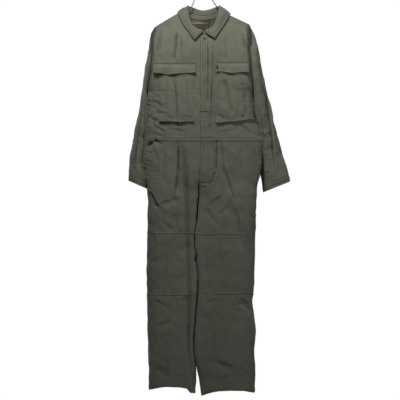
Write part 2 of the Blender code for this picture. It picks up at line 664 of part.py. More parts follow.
def make_pocket(panels, side):
    """A bellows pocket on one front: the patch, its gusset on three sides and the flap over its mouth."""
    panel = panels["front_" + side]
    start, end, top, bottom = POCKET[side]
    start, end = share_column(side, start), share_column(side, end)
    rows, cols = panel_places(panel, start, end, top, bottom)
    stands = np.interp(rows[:, 0], rows[[0, -1], 0], POCKET_STANDS)
    layer("chest_pocket_" + side, panel, rows, cols, stands - WALL, stands, CLOTH_LIGHT)
    make_gusset(panel, rows, cols, stands, side)
    start, end, top, bottom = FLAP[side]
    rows, cols = panel_places(panel, share_column(side, start), share_column(side, end), top, bottom)
    over = POCKET_STANDS[0] + LAYER_GAP
    lowest = over + FLAP_SPREAD
    rows = np.concatenate([rows[:1], rows[:1] + FLAP_ROLL, rows[1:]])
    cols = np.concatenate([cols[:1], cols])
    near = np.concatenate([[LAYER_GAP], np.linspace(over, lowest, len(rows) - 1)])
    layer("pocket_flap_" + side, panel, rows, cols, near, near + WALL, CLOTH_LIGHT)
    if side == "left":
        start, end, top, bottom = TAB
        rows, cols = panel_places(panel, share_column(side, start), share_column(side, end), top, bottom)
        raised = lowest + WALL + LAYER_GAP
        layer("flap_tab", panel, rows, cols, raised, raised + TAB_THICK, LABEL_CLOTH)


def make_gusset(panel, rows, cols, stands, side):
    """The pocket's gusset: a low wall under the patch's edge, down one side, along the bottom and up."""
    down = [(r, cols[0, 0]) for r in rows[:-1, 0]]
    along = [(r, c) for r, c in zip(rows[-1], cols[-1])]
    up = [(r, cols[0, -1]) for r in rows[-2::-1, -1]]
    path = np.array(down + along + up)
    heights = np.interp(path[:, 0], rows[[0, -1], 0], stands[[0, -1]]) - WALL - LAYER_GAP
    outer = sample(panel[1], path[:, 0], path[:, 1])
    found = unit(sample(panel[2], path[:, 0], path[:, 1]))
    sideways = np.zeros(path.shape)
    last = len(down)
    sideways[:last + 1, 1] = 1
    sideways[last + len(along) - 1:, 1] = -1
    sideways[last:last + len(along), 0] = -1
    steps = ((0, SMALL_STEP), (SMALL_STEP, 0))
    right, low = (sample(panel[1], path[:, 0] + a, path[:, 1] + b) - outer for a, b in steps)
    inward = unit(right) * sideways[:, 1:] + unit(low) * sideways[:, :1]
    inner = outer + inward * GUSSET_WIDTH
    low_edge, high_edge = found * LAYER_GAP, found * heights[:, None]
    face = np.stack([outer + low_edge, outer + high_edge])
    behind = np.stack([inner + low_edge, inner + high_edge])
    between("pocket_gusset_" + side, face, behind, CLOTH_LIGHT)


def make_placket(panels):
    """The cover strip over the front's fastening, and the snap near its top."""
    panel = panels["front_left"]
    start, end, top, bottom = PLACKET
    start, end = share_column("left", start) + PLACKET_INSET, share_column("left", end)
    rows, cols = panel_places(panel, start, end, top, bottom)
    layer("front_placket", panel, rows, cols, LAYER_GAP, LAYER_GAP + WALL, CLOTH_LIGHT)
    x, drop = SNAP_AT
    y = body_y("front", "left", x, drop) - 2 * LAYER_GAP - WALL - SNAP_THICK / 2
    bpy.ops.mesh.primitive_cylinder_add(
        vertices=SNAP_SIDES, radius=SNAP_RADIUS * MM, depth=SNAP_THICK * MM,
        location=(x * MM, y * MM, -drop * MM), rotation=(SNAP_TILT, 0, 0))
    snap = bpy.context.object
    snap.name = snap.data.name = "top_snap"
    snap.data.materials.append(material(SNAP_PAINT))


def make_label(panels):
    """The blank label sewn inside the back, under the neck."""
    panel = panels["back"]
    drops, points, _ = panel
    xs = points[0, :, 0]
    start, end = np.interp(LABEL_X, xs, np.arange(len(xs)))
    rows, cols = panel_places(panel, start, end, *LABEL_DROPS)
    near = -WALL - LAYER_GAP
    layer("neck_label", panel, rows, cols, near, near - LABEL_THICK, LABEL_CLOTH)


# ---- hanger ----


def wire_route():
    """Points along the wire: the hook, one arm, the bar, the other arm and its end beside the neck."""
    centre = HOOK_RADIUS - WIRE_RADIUS
    hook = [(HOOK_RADIUS * np.cos(a), centre - HOOK_RADIUS * np.sin(a)) for a in HOOK_SWEEP]
    right_arm, left_arm = (
        [(x, np.interp(x, RIDGE[:, 0], RIDGE[:, 1]) + WIRE_BELOW_RIDGE) for x in under]
        for under in (RIGHT_UNDER, LEFT_UNDER))
    route = np.array(hook + NECK_WIRE + right_arm + BAR_WIRE + left_arm + END_WIRE, float)
    along = np.concatenate([[0], np.cumsum(np.hypot(*np.diff(route, axis=0).T))])
    steps = np.sort(np.concatenate([along, (along[1:] + along[:-1]) / 2]))
    return np.stack([smooth(along, route[:, i], steps) for i in (0, 1)], axis=-1)


def make_hanger():
    """The wire hanger, one bent wire."""
    route = wire_route() * MM
    curve = bpy.data.curves.new("hanger", "CURVE")
    curve.dimensions = "3D"
    curve.bevel_depth = WIRE_RADIUS * MM
    curve.bevel_resolution = 2
    curve.use_fill_caps = True
    line = curve.splines.new("POLY")
    line.points.add(len(route) - 1)
    for point, (x, drop) in zip(line.points, route):
        point.co = (x, 0, -drop, 1)
    add_object("hanger", curve, STEEL)


def main():
    for old in list(bpy.data.objects):
        bpy.data.objects.remove(old, do_unlink=True)
    panels = make_bodice()
    for side in ("right", "left"):
        make_sleeve(panels, side)
        make_leg(side)
    for name, (_, points, found) in panels.items():
        cloth("bodice_" + name, points, found, CLOTH_LIGHT)
    make_collar(panels)
    for side in ("right", "left"):
        make_pocket(panels, side)
    make_placket(panels)
    make_label(panels)
    make_hanger()


main()
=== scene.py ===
"""A long-sleeved cotton boiler suit on a wire hanger, dressed as it hangs in front of a white wall.

Lengths are in millimetres and become metres where a mesh is made. x runs across the suit towards the
wearer's left, y from the front, at -y, to the back, and "drop" is the depth below the inside of the
hanger's hook, so z = -drop. Every cloth piece is a thin closed shell between two grids of points.
"""

import bpy
import numpy as np
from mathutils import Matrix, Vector


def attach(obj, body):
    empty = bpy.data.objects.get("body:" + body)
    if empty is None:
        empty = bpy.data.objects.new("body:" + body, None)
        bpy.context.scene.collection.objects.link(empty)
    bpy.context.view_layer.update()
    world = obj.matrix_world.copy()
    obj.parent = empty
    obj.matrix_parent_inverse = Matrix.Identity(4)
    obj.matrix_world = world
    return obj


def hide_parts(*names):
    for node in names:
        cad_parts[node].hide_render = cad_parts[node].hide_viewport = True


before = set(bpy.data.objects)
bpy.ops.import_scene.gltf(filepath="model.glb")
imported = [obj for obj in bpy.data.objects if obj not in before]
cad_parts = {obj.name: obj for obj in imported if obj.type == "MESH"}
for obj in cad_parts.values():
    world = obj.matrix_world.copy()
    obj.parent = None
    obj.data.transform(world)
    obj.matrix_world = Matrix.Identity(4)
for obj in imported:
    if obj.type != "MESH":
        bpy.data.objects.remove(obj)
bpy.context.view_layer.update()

MM = 0.001

# The cloth's thickness and the labels', and the gap left along each seam.
THICK = 1.3
LABEL_THICK = 0.7
SEAM = 0.3

# Levels, as drops below the hook.
WAIST = 663.0
CROTCH = 885.0
CROTCH_RISE = 115.0
ARMPIT = 477.0
EVEN_ROWS_FROM = 306.0

# The shoulder's ridge over the hanger: x, drop.
RIDGE = np.array([
    (-190, 229), (-178, 220), (-96, 171), (-70, 160), (0, 154), (74, 160), (103, 180), (170, 211),
    (181, 217)])
# The ridge's own rounding, and the drop over which the cloth spreads to its full depth below it.
RIDGE_RADIUS = 6.0
SHOULDER_SPREAD = 190.0

# Necklines, from the middle out to the shoulder's ridge: x, drop.
NECK_FRONT = {
    "right": np.array([(-70, 160), (-69, 188), (-64, 215), (-54, 234), (-40, 247), (-24, 253), (-10, 256)]),
    "left": np.array([(-10, 256), (8, 255), (27, 250), (44, 241), (59, 223), (71, 194), (74, 160)])}
NECK_BACK = np.array([
    (-70, 160), (-62, 178), (-50, 190), (-30, 197), (0, 199), (32, 197), (53, 190), (66, 178), (74, 160)])

# The side edges of the body, seen from the front: drop, x at the wearer's right, x at the wearer's left.
SIDES = np.array([
    (217, -190, 181), (229, -190, 182), (270, -200, 184), (316, -205, 185), (370, -206, 188),
    (433, -209, 193), (477, -216, 198), (540, -215, 200), (581, -215, 204), (620, -218, 217),
    (663, -222, 228), (706, -225, 232), (753, -228, 229), (800, -226, 224), (862, -218, 211),
    (901, -216, 209), (971, -216, 206), (1080, -217, 202), (1190, -219, 200), (1268, -218, 196),
    (1307, -217, 192), (1338, -216, 197), (1388, -215, 204), (1490, -213, 200), (1583, -211, 204),
    (1670, -210, 200)])

# The line between the two halves and the two legs, and the gap between the legs: drop, x, gap.
MIDDLE = np.array([
    (154, -10, 0), (663, -10, 0), (780, -12, 0), (885, -16, 0.8), (930, -13, 4), (983, -18, 4),
    (1040, -23, 4), (1096, -23, 4), (1180, -15, 4), (1215, -12, 4), (1318, -18, 4), (1369, -23, 4),
    (1455, -29, 4), (1532, -26.5, 5), (1576, -23, 8), (1620, -21, 16), (1670, -17.5, 27)])

# How far the cloth stands off the hanger's plane: drop, front, back.
DEPTHS = np.array([
    (154, 64, 52), (400, 66, 54), (520, 68, 57), (600, 65, 58), (663, 60, 56), (740, 63, 60),
    (885, 64, 62), (1033, 61, 58), (1271, 57, 52), (1450, 51, 47), (1670, 44, 42)])
# The power of the body's rounded sections, and the armhole's half opening and the power of its bump.
ROUNDNESS = 2.6
ARMHOLE_DEPTH = 47.0
ARMHOLE_FULLNESS = 0.7
# A fold fades over this share of its length at each end, and over this drop below the ridge. Its lip
# lies this many widths away.
FOLD_ENDS = 0.2
TOP_FADE = 20.0
LIP_AT = 1.7

# How much the body's back half narrows behind the sleeves: drop, share of its width.
TUCK = np.array([(477, 0), (540, 0.07), (610, 0.13), (700, 0.14), (830, 0.13), (900, 0.06), (960, 0)])
# It sets in from this y backwards, over this length.
TUCK_FROM = -12.0
TUCK_OVER = 30.0

# Drops of the seams across the fronts of the legs, and of the hems: x, drop.
THIGH_SEAM = {"right": 1033.0, "left": 1037.0}
KNEE_SEAM = {"right": 1272.0, "left": 1268.0}
HEM = {
    "right": np.array([(-212, 1641), (-168, 1631), (-144, 1628), (-90, 1630), (-64, 1635), (-50, 1652),
                       (-30, 1654)]),
    "left": np.array([(-6, 1664), (12, 1657), (35, 1650), (62, 1645), (105, 1643), (160, 1644), (183, 1649),
                      (204, 1653)])}

# Folds: x and drop of the upper end, of the lower end, sideways bow, width and depth. A depth below
# zero is a ridge.
FOLDS_FRONT = np.array([
    (-105, 253, -115, 365, 0, 9, 5.0),
    (-84, 290, -98, 350, 0, 9, 2.0),
    (-176, 268, -170, 330, 4, 9, 2.5),
    (156, 289, 181, 345, 0, 9, 3.0),
    (-113, 425, -101, 625, 5, 11, 4.5),
    (82, 425, 113, 575, 0, 14, 3.0),
    (-222, 700, -172, 664, 0, 11, 7.0),
    (-97, 690, -95, 890, 3, 11, 6.0),
    (-74, 685, -52, 1620, 8, 16, 4.0),
    (-156, 926, -96, 897, 0, 10, 4.0),
    (-213, 868, -180, 934, 0, 10, 4.0),
    (-105, 950, -126, 1030, 0, 11, 3.0),
    (76, 690, 100, 890, 4, 14, 5.0),
    (100, 880, 192, 1150, -14, 14, 5.0),
    (129, 725, 129, 925, 0, 12, 4.0),
    (117, 930, 140, 1010, 0, 12, 3.0),
    (142, 1289, 196, 1338, -6, 12, 6.0),
    (25, 1522, 118, 1570, 6, 13, 5.0),
    (172, 1385, 189, 1625, 8, 12, 5.0),
    (-182, 1550, -134, 1594, 0, 14, 4.0)])
FOLDS_BACK = np.array([
    (-118, 245, -128, 380, 0, 12, 4.0),
    (112, 240, 124, 372, 0, 12, 4.0),
    (-60, 420, -84, 640, 8, 14, 4.0),
    (70, 430, 96, 635, -6, 14, 3.5),
    (-214, 705, -150, 668, 0, 12, 5.0),
    (-88, 700, -100, 930, 0, 13, 5.0),
    (92, 700, 108, 940, 0, 13, 5.0),
    (-150, 920, -60, 990, 0, 14, 5.0),
    (40, 980, 150, 915, 0, 14, 5.0),
    (-120, 1080, -96, 1560, 8, 15, 4.0),
    (96, 1090, 112, 1540, -8, 15, 4.0),
    (-190, 1290, -70, 1330, 8, 14, 5.0),
    (50, 1330, 180, 1286, 8, 14, 5.0)])

# Sleeve sections below the armhole, each an oval across from its outer point to its inner point:
# x and drop of the outer point, x and drop of the inner point, y of the middle, half its depth.
SLEEVE = {
    "right": np.array([
        (-201, 252, -220, 483, 1, 49), (-207, 288, -223, 491, 7, 58), (-217, 338, -223, 504, 14, 63),
        (-228, 400, -221, 525, 22, 66), (-238, 470, -217, 556, 28, 66), (-248, 542, -212, 600, 33, 62),
        (-262, 605, -209, 648, 38, 58), (-275, 671, -208, 702, 40, 54), (-285, 730, -208, 759, 41, 51),
        (-289, 780, -208, 812, 41, 50), (-291, 826, -209, 862, 41, 48)]),
    "left": np.array([
        (192, 243, 203, 482, 1, 49), (206, 272, 207, 492, 6, 58), (219, 325, 210, 508, 12, 62),
        (232, 384, 212, 528, 19, 64), (245, 450, 213, 556, 25, 63), (260, 520, 214, 592, 31, 60),
        (276, 588, 216, 642, 36, 55), (296, 664, 218, 702, 38, 50), (312, 727, 221, 762, 38, 44),
        (328, 778, 228, 818, 35, 38), (341, 829, 237, 871, 32, 32)])}
# The gap between sleeve and armhole.
SLEEVE_SEAM = 0.4
FOLDS_SLEEVE = {
    "right": np.array([
        (-262, 640, -222, 668, 0, 10, 5.0), (-240, 700, -238, 770, 0, 10, 5.0),
        (-270, 690, -278, 780, 0, 9, 4.0), (-226, 420, -236, 560, 0, 12, 4.0)]),
    "left": np.array([
        (214, 305, 278, 795, 6, 10, 5.0), (240, 660, 290, 636, 0, 10, 4.0), (236, 712, 268, 694, 0, 9, 4.0),
        (252, 560, 240, 640, 0, 12, 3.0)])}

# The collar, station by station from the front's middle round to the back's: x, y and drop of its crest,
# then x, drop and lift of its outer edge.
COLLAR = {
    "right": np.array([
        (-1, -46, 238, 0, 249, 8), (-14, -45, 237, -12, 259, 9), (-28, -41, 231, -33, 281, 10),
        (-41, -33, 219, -55, 250, 7), (-50, -23, 198, -76, 222, 5), (-57, -11, 170, -90, 196, 6.5),
        (-60, 0, 143, -99, 168, 4.5), (-53, 10, 145, -90, 188, 4.5), (-42, 17, 148, -66, 206, 4.5),
        (-23, 22, 155, -34, 215, 4.5), (0, 24, 160, 0, 217, 4.5)]),
    "left": np.array([
        (9, -46, 238, 8, 250, 8), (18, -45, 237, 21, 261, 9), (30, -41, 231, 47, 274, 10),
        (43, -33, 217, 67, 244, 7), (53, -23, 192, 88, 214, 5), (61, -11, 165, 100, 192, 6.5),
        (65, 0, 142, 108, 175, 4.5), (58, 10, 145, 96, 194, 4.5), (46, 17, 149, 72, 208, 4.5),
        (25, 22, 156, 37, 216, 4.5), (0, 24, 160, 0, 217, 4.5)])}
# The stand's middle row as a share of its height, the width of the turn at the crest, the fall's least
# distance from the bodice and its bulge as a share of the turn.
STAND_SHARE = 0.5
COLLAR_TURN = 7.0
LEAF_LIFT = 5.0
LEAF_BULGE = 1.0
# The fall's two rows between crest and outer edge: share of the way down, share of the bulge
LEAF_ROWS = ((0.34, 1.0), (0.67, 0.8))

# Pockets, flaps and front strip on the bodice's halves: first and last share, top drop. The strip's last
# number is its lower drop. A pocket stands off its front by the first distance at its mouth and by the
# second at its bottom.
POCKET = {"right": (0.122, 0.78, 379), "left": (0.265, 0.94, 376)}
FLAP = {"right": (0.096, 0.915, 370), "left": (0.284, 0.935, 366)}
POCKET_STANDS = (4.5, 7.0)
PLACKET = (0.0, 0.132, 263, 558)
# The neck's label, x and drops of its edges, and the snap, its x and drop.
LABEL_X = (-43.0, 23.0)
LABEL_DROPS = (202.0, 234.0)
SNAP_AT = (6.0, 270.0)


def smooth(keys, values, at):
    """A smooth curve through values at rising keys: cubic pieces with slopes from their neighbours."""
    slopes = np.gradient(values, keys)
    at = np.clip(at, keys[0], keys[-1])
    i = np.clip(np.searchsorted(keys, at) - 1, 0, len(keys) - 2)
    step = keys[i + 1] - keys[i]
    t = (at - keys[i]) / step
    rise = values[i + 1] - values[i]
    a = slopes[i] * step - rise
    b = rise - slopes[i + 1] * step
    return values[i] + t * rise + t * (1 - t) * ((1 - t) * a + t * b)


def curve(keys, rows, at):
    """Every column of rows read smoothly at some keys, side by side."""
    return np.stack([smooth(keys, values, at) for values in rows.T], axis=-1)


def straight(keys, rows, at):
    """Every column of rows read along straight lines at some keys, side by side."""
    return np.stack([np.interp(at, keys, values) for values in rows.T], axis=-1)


def measured(line):
    """Length along a line of points, from its first point to each."""
    return np.concatenate([[0], np.cumsum(np.linalg.norm(np.diff(line, axis=0), axis=-1))])


def column(table, index, at):
    """One column of a table, read smoothly at the given drops."""
    return smooth(table[:, 0].astype(float), table[:, index].astype(float), at)


def ease(t):
    """Zero below 0, one above 1 and a smooth step between."""
    t = np.clip(t, 0, 1)
    return t * t * (3 - 2 * t)


def bell(distance, width):
    """A bell over a distance: e^(-(distance / width)^2)."""
    return np.exp(-((distance / width) ** 2))


def held(drops, first, last, rise=40, fall=40):
    """One between two drops and zero beyond them, after a smooth rise and before a smooth fall."""
    return ease((drops - first) / rise) * (1 - ease((drops - last) / fall))


def unit(vectors):
    """Vectors scaled to length one."""
    return vectors / np.maximum(np.linalg.norm(vectors, axis=-1, keepdims=True), 1e-9)


def fold_depth(rows, x, drop, lip=0.0):
    """The sum of all folds at x and drop: each is a bell across its bowed line that fades at both ends.

    With a lip the cloth also rises beside the trough, by that share of its depth, 1.7 widths away.
    """
    total = np.zeros(np.broadcast(x, drop).shape)
    for x0, d0, x1, d1, bow, width, depth in rows:
        span = np.hypot(x1 - x0, d1 - d0)
        ax, ad = (x1 - x0) / span, (d1 - d0) / span
        t = ((x - x0) * ax + (drop - d0) * ad) / span
        off = (x - x0) * ad - (drop - d0) * ax - bow * 4 * t * (1 - t)
        ends = ease(t / FOLD_ENDS) * ease((1 - t) / FOLD_ENDS)
        total += depth * (bell(off, width) - lip * bell(off / width - LIP_AT, 1.0)) * ends
    return total


COLUMN = {"right": 1, "left": 2}
FACE = {"front": -1.0, "back": 1.0}
FOLDS = {"front": FOLDS_FRONT, "back": FOLDS_BACK}


def ridge_drop(x):
    """Drop of the shoulder's ridge at x."""
    return np.interp(x, RIDGE[:, 0], RIDGE[:, 1])


def edge_x(side, drop):
    """x of the side edge."""
    return column(SIDES, COLUMN[side], drop)


def middle_x(side, drop):
    """x of the middle, and below the crotch of the leg's inner edge."""
    half_gap = np.maximum(column(MIDDLE, 2, drop), 0) / 2
    return column(MIDDLE, 1, drop) + (-half_gap if side == "right" else half_gap)


def tip_drop(side):
    """Drop of the shoulder point, where the armhole starts."""
    return RIDGE[0, 1] if side == "right" else RIDGE[-1, 1]


def armhole_depth(side, drop):
    """Half the armhole's opening from front to back: a rounded bump between shoulder point and armpit."""
    t = np.clip((drop - tip_drop(side)) / (ARMPIT - tip_drop(side)), 0, 1)
    return ARMHOLE_DEPTH * (4 * t * (1 - t)) ** ARMHOLE_FULLNESS


def body_point(face, side, share, drop):
    """A point of the body's cloth, share of the way from the middle to the side edge, at a drop.

    The distance from the hanger's plane rounds over the ridge, spreads below it, and closes to the side
    along a rounded oval; below the crotch it closes to the inner edge as well. Folds take from it, and
    the back half narrows behind the sleeves.
    """
    share, drop = np.broadcast_arrays(share, drop)
    x = middle_x(side, drop) + share * (edge_x(side, drop) - middle_x(side, drop))
    below = np.clip(drop - ridge_drop(x), 0, None)
    deep = column(DEPTHS, 1 if face == "front" else 2, drop)
    rounding = RIDGE_RADIUS * np.sqrt(1 - (1 - np.clip(below / RIDGE_RADIUS, 0, 1)) ** 2)
    spread = rounding + (deep - RIDGE_RADIUS) * np.sin(np.pi / 2 * np.clip(below / SHOULDER_SPREAD, 0, 1))
    rise = np.clip((drop - CROTCH + CROTCH_RISE) / CROTCH_RISE, 0, 1)
    closing = ease(rise ** 1.5)
    one_side = np.clip(1 - share ** ROUNDNESS, 0, 1) ** (1 / ROUNDNESS)
    both_sides = np.clip(1 - np.abs(2 * share - 1) ** ROUNDNESS, 0, 1) ** (1 / ROUNDNESS)
    profile = one_side * (1 - closing) + both_sides * closing
    at_edge = armhole_depth(side, drop)
    fade = np.clip(2 * profile, 0, 1) * ease(below / TOP_FADE)
    stand = at_edge + (spread - at_edge) * profile - fold_depth(FOLDS[face], x, drop) * fade
    y = FACE[face] * stand
    x = x * (1 - column(TUCK, 1, drop) * ease((y - TUCK_FROM) / TUCK_OVER))
    return np.stack([x, y, -drop], axis=-1)


def body_y(face, side, x, drop):
    """y of the body's cloth at x and drop."""
    share = np.clip((x - middle_x(side, drop)) / (edge_x(side, drop) - middle_x(side, drop)), 0, 1)
    return body_point(face, side, share, drop)[..., 1]


def normals(points, outward, wrap=False):
    """Unit normals of a grid of points, on the side that the outward vector at one grid place names.

    With wrap the grid's last column lies on its first, so both get the same normals.
    """
    if wrap:
        ring = points[:, :-1]
        padded = np.concatenate([ring[:, -1:], ring, ring[:, :2]], axis=1)
        across = np.gradient(padded, axis=1)[:, 1:-1]
    else:
        across = np.gradient(points, axis=1)
    found = unit(np.cross(np.gradient(points, axis=0), across))
    place, direction = outward
    return found if found[place] @ np.array(direction, float) > 0 else -found


def flatten(found, place, axis):
    """Turns the normals at a border into the plane of its seam, so that the next piece's meet them."""
    found[place + (axis,)] = 0.0
    found[place] = unit(found[place])


# ---- meshes ----


def finish_piece(obj, node, colour):
    """Gives a finished piece its material, hangs it under the root's empty and hides the part that it
    stands for.
    """
    obj.data.materials.append(colour)
    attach(obj, "root")
    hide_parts(node)


def mesh_object(name, points, faces, uvs, wear=None):
    """A smooth-shaded object from points in millimetres, faces, and UVs and wear per point: wear with
    painted shade and highlights.
    """
    mesh = bpy.data.meshes.new(name)
    mesh.from_pydata((points * MM).tolist(), [], faces.tolist() if hasattr(faces, "tolist") else faces)
    if wear is not None:
        mesh.attributes.new("wear", "FLOAT", "POINT").data.foreach_set("value", wear)
    corners = np.empty(len(mesh.loops), dtype=np.int32)
    mesh.loops.foreach_get("vertex_index", corners)
    mesh.uv_layers.new(name="cloth").data.foreach_set("uv", (uvs * MM)[corners].ravel())
    mesh.shade_smooth()
    made = bpy.data.objects.new(name, mesh)
    bpy.context.scene.collection.objects.link(made)
    return made


def shell(name, points, found, thick, wear):
    """A closed shell: its outer face at the points, its inner one behind them, half a seam in all round."""
    rows, cols = points.shape[:2]
    count = rows * cols
    front = np.arange(count).reshape(rows, cols)
    loop = np.concatenate([front[0, :-1], front[:-1, -1], front[-1, :0:-1], front[:0:-1, 0]])
    after = np.roll(loop, -1)
    quads = np.stack([front[:-1, :-1], front[1:, :-1], front[1:, 1:], front[:-1, 1:]], axis=-1)
    quads = quads.reshape(-1, 4)
    rim = np.stack([loop, after, after + count, loop + count], axis=-1)
    faces = np.concatenate([quads, quads[:, ::-1] + count, rim])
    outer, inner = drawn_in(points, points), drawn_in(points, points - found * thick)
    both = np.concatenate([outer.reshape(-1, 3), inner.reshape(-1, 3)])
    row, col = rows // 2, cols // 2
    down, across = points[row + 1, col] - points[row, col], points[row, col + 1] - points[row, col]
    if np.cross(down, across) @ found[row, col] < 0:
        faces = faces[:, ::-1]
    uvs = np.tile(lengths(points).reshape(-1, 2), (2, 1))
    return mesh_object(name, both, faces, uvs, np.tile(wear.ravel(), 2))


def drawn_in(points, moved):
    """Moves the border rows and columns of moved inwards by half a seam, along the grid of points."""
    moved = moved.copy()
    half = SEAM / 2
    moved[0] += unit(points[1] - points[0]) * half
    moved[-1] += unit(points[-2] - points[-1]) * half
    moved[:, 0] += unit(points[:, 1] - points[:, 0]) * half
    moved[:, -1] += unit(points[:, -2] - points[:, -1]) * half
    return moved


def lengths(points):
    """The cloth's own coordinates: the mean length run across the columns and down the rows."""
    across = np.linalg.norm(np.diff(points, axis=1), axis=-1).mean(axis=0)
    down = np.linalg.norm(np.diff(points, axis=0), axis=-1).mean(axis=1)
    u, v = np.concatenate([[0], np.cumsum(across)]), np.concatenate([[0], np.cumsum(down)])
    return np.stack(np.meshgrid(u, v), axis=-1)


def run(points, axis):
    """Length along one axis of a grid from its start to each place."""
    steps = np.linalg.norm(np.diff(points, axis=axis), axis=-1)
    shape = list(points.shape[:2])
    shape[axis] = 1
    return np.concatenate([np.zeros(shape), np.cumsum(steps, axis=axis)], axis=axis)


def to_nearer(along):
    """Distance from the nearer of a grid's two side borders."""
    return np.minimum(along, along[:, -1:] - along)


def graded(length, pitch, first=True, last=True, fine=1.1):
    """Shares of a length at an even pitch, with closer places near each end that carries a seam."""
    ends = np.array([0, 0.5, 1.2, 2.2, 3.3, 4.4, 5.5, 6.6, 7.7, 8.8, 10, 11.6, 14]) * fine
    ends = ends * min(1.0, length / (2.5 * ends[-1]))
    low = ends if first else np.array([0.0])
    high = length - (ends if last else np.array([0.0]))
    middle = np.linspace(low[-1], high[-1], max(int((high[-1] - low[-1]) / pitch), 2) + 1)[1:-1]
    return np.concatenate([low, middle, high[::-1]]) / length


def read(grid, rows, cols):
    """A grid read between its rows and columns, by weights of its four nearest places."""
    r = np.clip(np.floor(rows).astype(int), 0, grid.shape[0] - 2)
    c = np.clip(np.floor(cols).astype(int), 0, grid.shape[1] - 2)
    fr, fc = np.asarray(rows - r)[..., None], np.asarray(cols - c)[..., None]
    upper = grid[r, c] * (1 - fc) + grid[r, c + 1] * fc
    lower = grid[r + 1, c] * (1 - fc) + grid[r + 1, c + 1] * fc
    return upper * (1 - fr) + lower * fr


# ---- relief of the cloth ----


def ripple(u, v, rows):
    """A sum of plane waves over the cloth: each row has a wave length, a heading, a start and a height."""
    total = np.zeros(np.broadcast(u, v).shape)
    for wave, heading, start, height in rows:
        along = u * np.cos(heading) + v * np.sin(heading)
        across = -u * np.sin(heading) + v * np.cos(heading)
        bent = 1.3 * np.sin(across / (0.8 * wave) + start)
        total += height * np.sin(2 * np.pi * along / wave + start + bent)
    return total


SOFT_WAVES = np.array([
    (83, 0.25, 0.4, 0.55), (61, 1.9, 2.1, 0.40), (47, 0.9, 4.4, 0.30), (112, 1.45, 1.2, 0.60),
    (34, 2.5, 3.3, 0.24), (26, 0.1, 5.2, 0.22), (52, 0.06, 0.9, 0.22), (31, -0.12, 2.2, 0.14),
    (19, 0.3, 4.0, 0.12), (17, 1.5, 1.0, 0.12)])
# Gains of the creases and of the soft waves, and the lip beside a crease as a share of its depth.
CREASE_GAIN = 1.35
WAVE_GAIN = 1.1
LIP = 0.55
# These main folds get a sharper core: their own rows, with width and depth times the last two numbers.
SHARP_ROWS = [0, 4, 5, 7, 8]
SHARPER = (1, 1, 1, 1, 1, 0.45, 0.6)
# A seam's wave length of puckers, its band's width, and its stitch lines, and those of cuffs and hems.
PUCKER = 11.0
FELL = 8.5
STITCH_LINES = (1.6, 7.2)
CUFF_LINES = (8.0, 19.0)
HEM_LINES = (9.0, 21.0)


def puckers(along):
    """A seam's puckers: sin(2 pi along / PUCKER + 1.7 sin(along / 23))."""
    return np.sin(2 * np.pi * along / PUCKER + 1.7 * np.sin(along / 23.0))


def felled(distance, along, lifted=0.8):
    """A felled seam's relief: its edge turns down, then comes a band with two sunk stitch lines.

    Beyond the band the cloth puckers in short waves that die away.
    """
    edge = -0.9 * bell(distance, 0.9)
    band = lifted * (1 - ease((distance - FELL + 1.2) / 2.2))
    sunk = sum(-0.28 * bell(distance - line, 0.8) for line in STITCH_LINES)
    wave = puckers(along) + 0.5 * np.sin(along / 3.1)
    return edge + band + sunk + 0.26 * wave * bell(distance, 13.0) * ease(distance / 2.5)


def plain_edge(distance, along):
    """The other side of a felled seam: its edge turns down, and it takes up the seam's puckers."""
    edge = -0.9 * bell(distance, 1.2)
    return edge + 0.3 * puckers(along) * bell(distance, 12.0) * ease(distance / 2.5)


def puckered(to_side, drops, first, last):
    """Small wrinkles near a side seam, between two drops.

    At a distance d their height is
    0.8 sin(2 pi (drop + 6 sin(d / 13)) / 19 + 2 sin(drop / 37)) e^(-((d - 26) / 26)^2).
    """
    wave = np.sin(2 * np.pi * (drops + 6 * np.sin(to_side / 13.0)) / 19.0 + 2 * np.sin(drops / 37.0))
    return 0.8 * wave * bell(to_side - 26, 26.0) * held(drops, first, last)


def hemmed(distance, along, deep=24.0):
    """A hem's relief: a doubled band up to its stitching, roped by short slanting puckers."""
    band = 0.7 * (1 - ease((distance - deep) / 1.6)) - 0.5 * bell(distance, 0.9)
    rope = np.sin(2 * np.pi * (along + 0.7 * distance) / 9.0) * bell(distance - deep / 2, 0.45 * deep)
    return band + 0.45 * rope - 0.7 * bell(distance - deep + 1.5, 1.6)


# ---- bodice ----

FRONT_PITCH = 3.3
BACK_PITCH = 5.2
# Drops between which the sides pucker, the two fronts' meeting line, x of the shade under the left arm,
# how deep the armholes lie, and the shares of extra places near the side and the top.
BODICE_PUCKERED = {"right": (470, 620), "left": (540, 620)}
MIDDLE_X = -10.0
UNDER_ARM_X = 199.0
ARMHOLE_SUNK = 4.5
EDGE_SHARES = np.array([0.012, 0.0055, 0.002, 0.0005, 0.0])
TOP_SHARES = np.array([0, 0.002, 0.008, 0.018, 0.032, 0.05, 0.07, 0.095, 0.12, 0.15, 0.18, 0.215])


def top_line(side, face, pitch=3.6):
    """x and drop of the bodice's top edge, from its middle: the neckline, then the ridge to its tip."""
    table = (NECK_FRONT[side] if face == "front" else NECK_BACK).astype(float)
    outward = -1 if side == "right" else 1
    start = [(MIDDLE_X, np.interp(MIDDLE_X, table[:, 0], table[:, 1]))]
    beyond = table[(table[:, 0] - MIDDLE_X) * outward > 1]
    neck = np.concatenate([start, beyond[np.argsort(beyond[:, 0] * outward, kind="stable")]])
    along = measured(neck)
    neckline = curve(along, neck, np.linspace(0, along[-1], int(along[-1] / pitch) + 2))
    tip, join = tip_x(side), neck[-1, 0]
    run_out = join + (tip - join) * np.linspace(0, 1, int(abs(tip - join) / pitch / 1.2))[1:-1]
    return np.concatenate([neckline, np.stack([run_out, ridge_drop(run_out)], axis=-1)])


def tip_x(side):
    """x of the shoulder's tip."""
    return RIDGE[0, 0] if side == "right" else RIDGE[-1, 0]


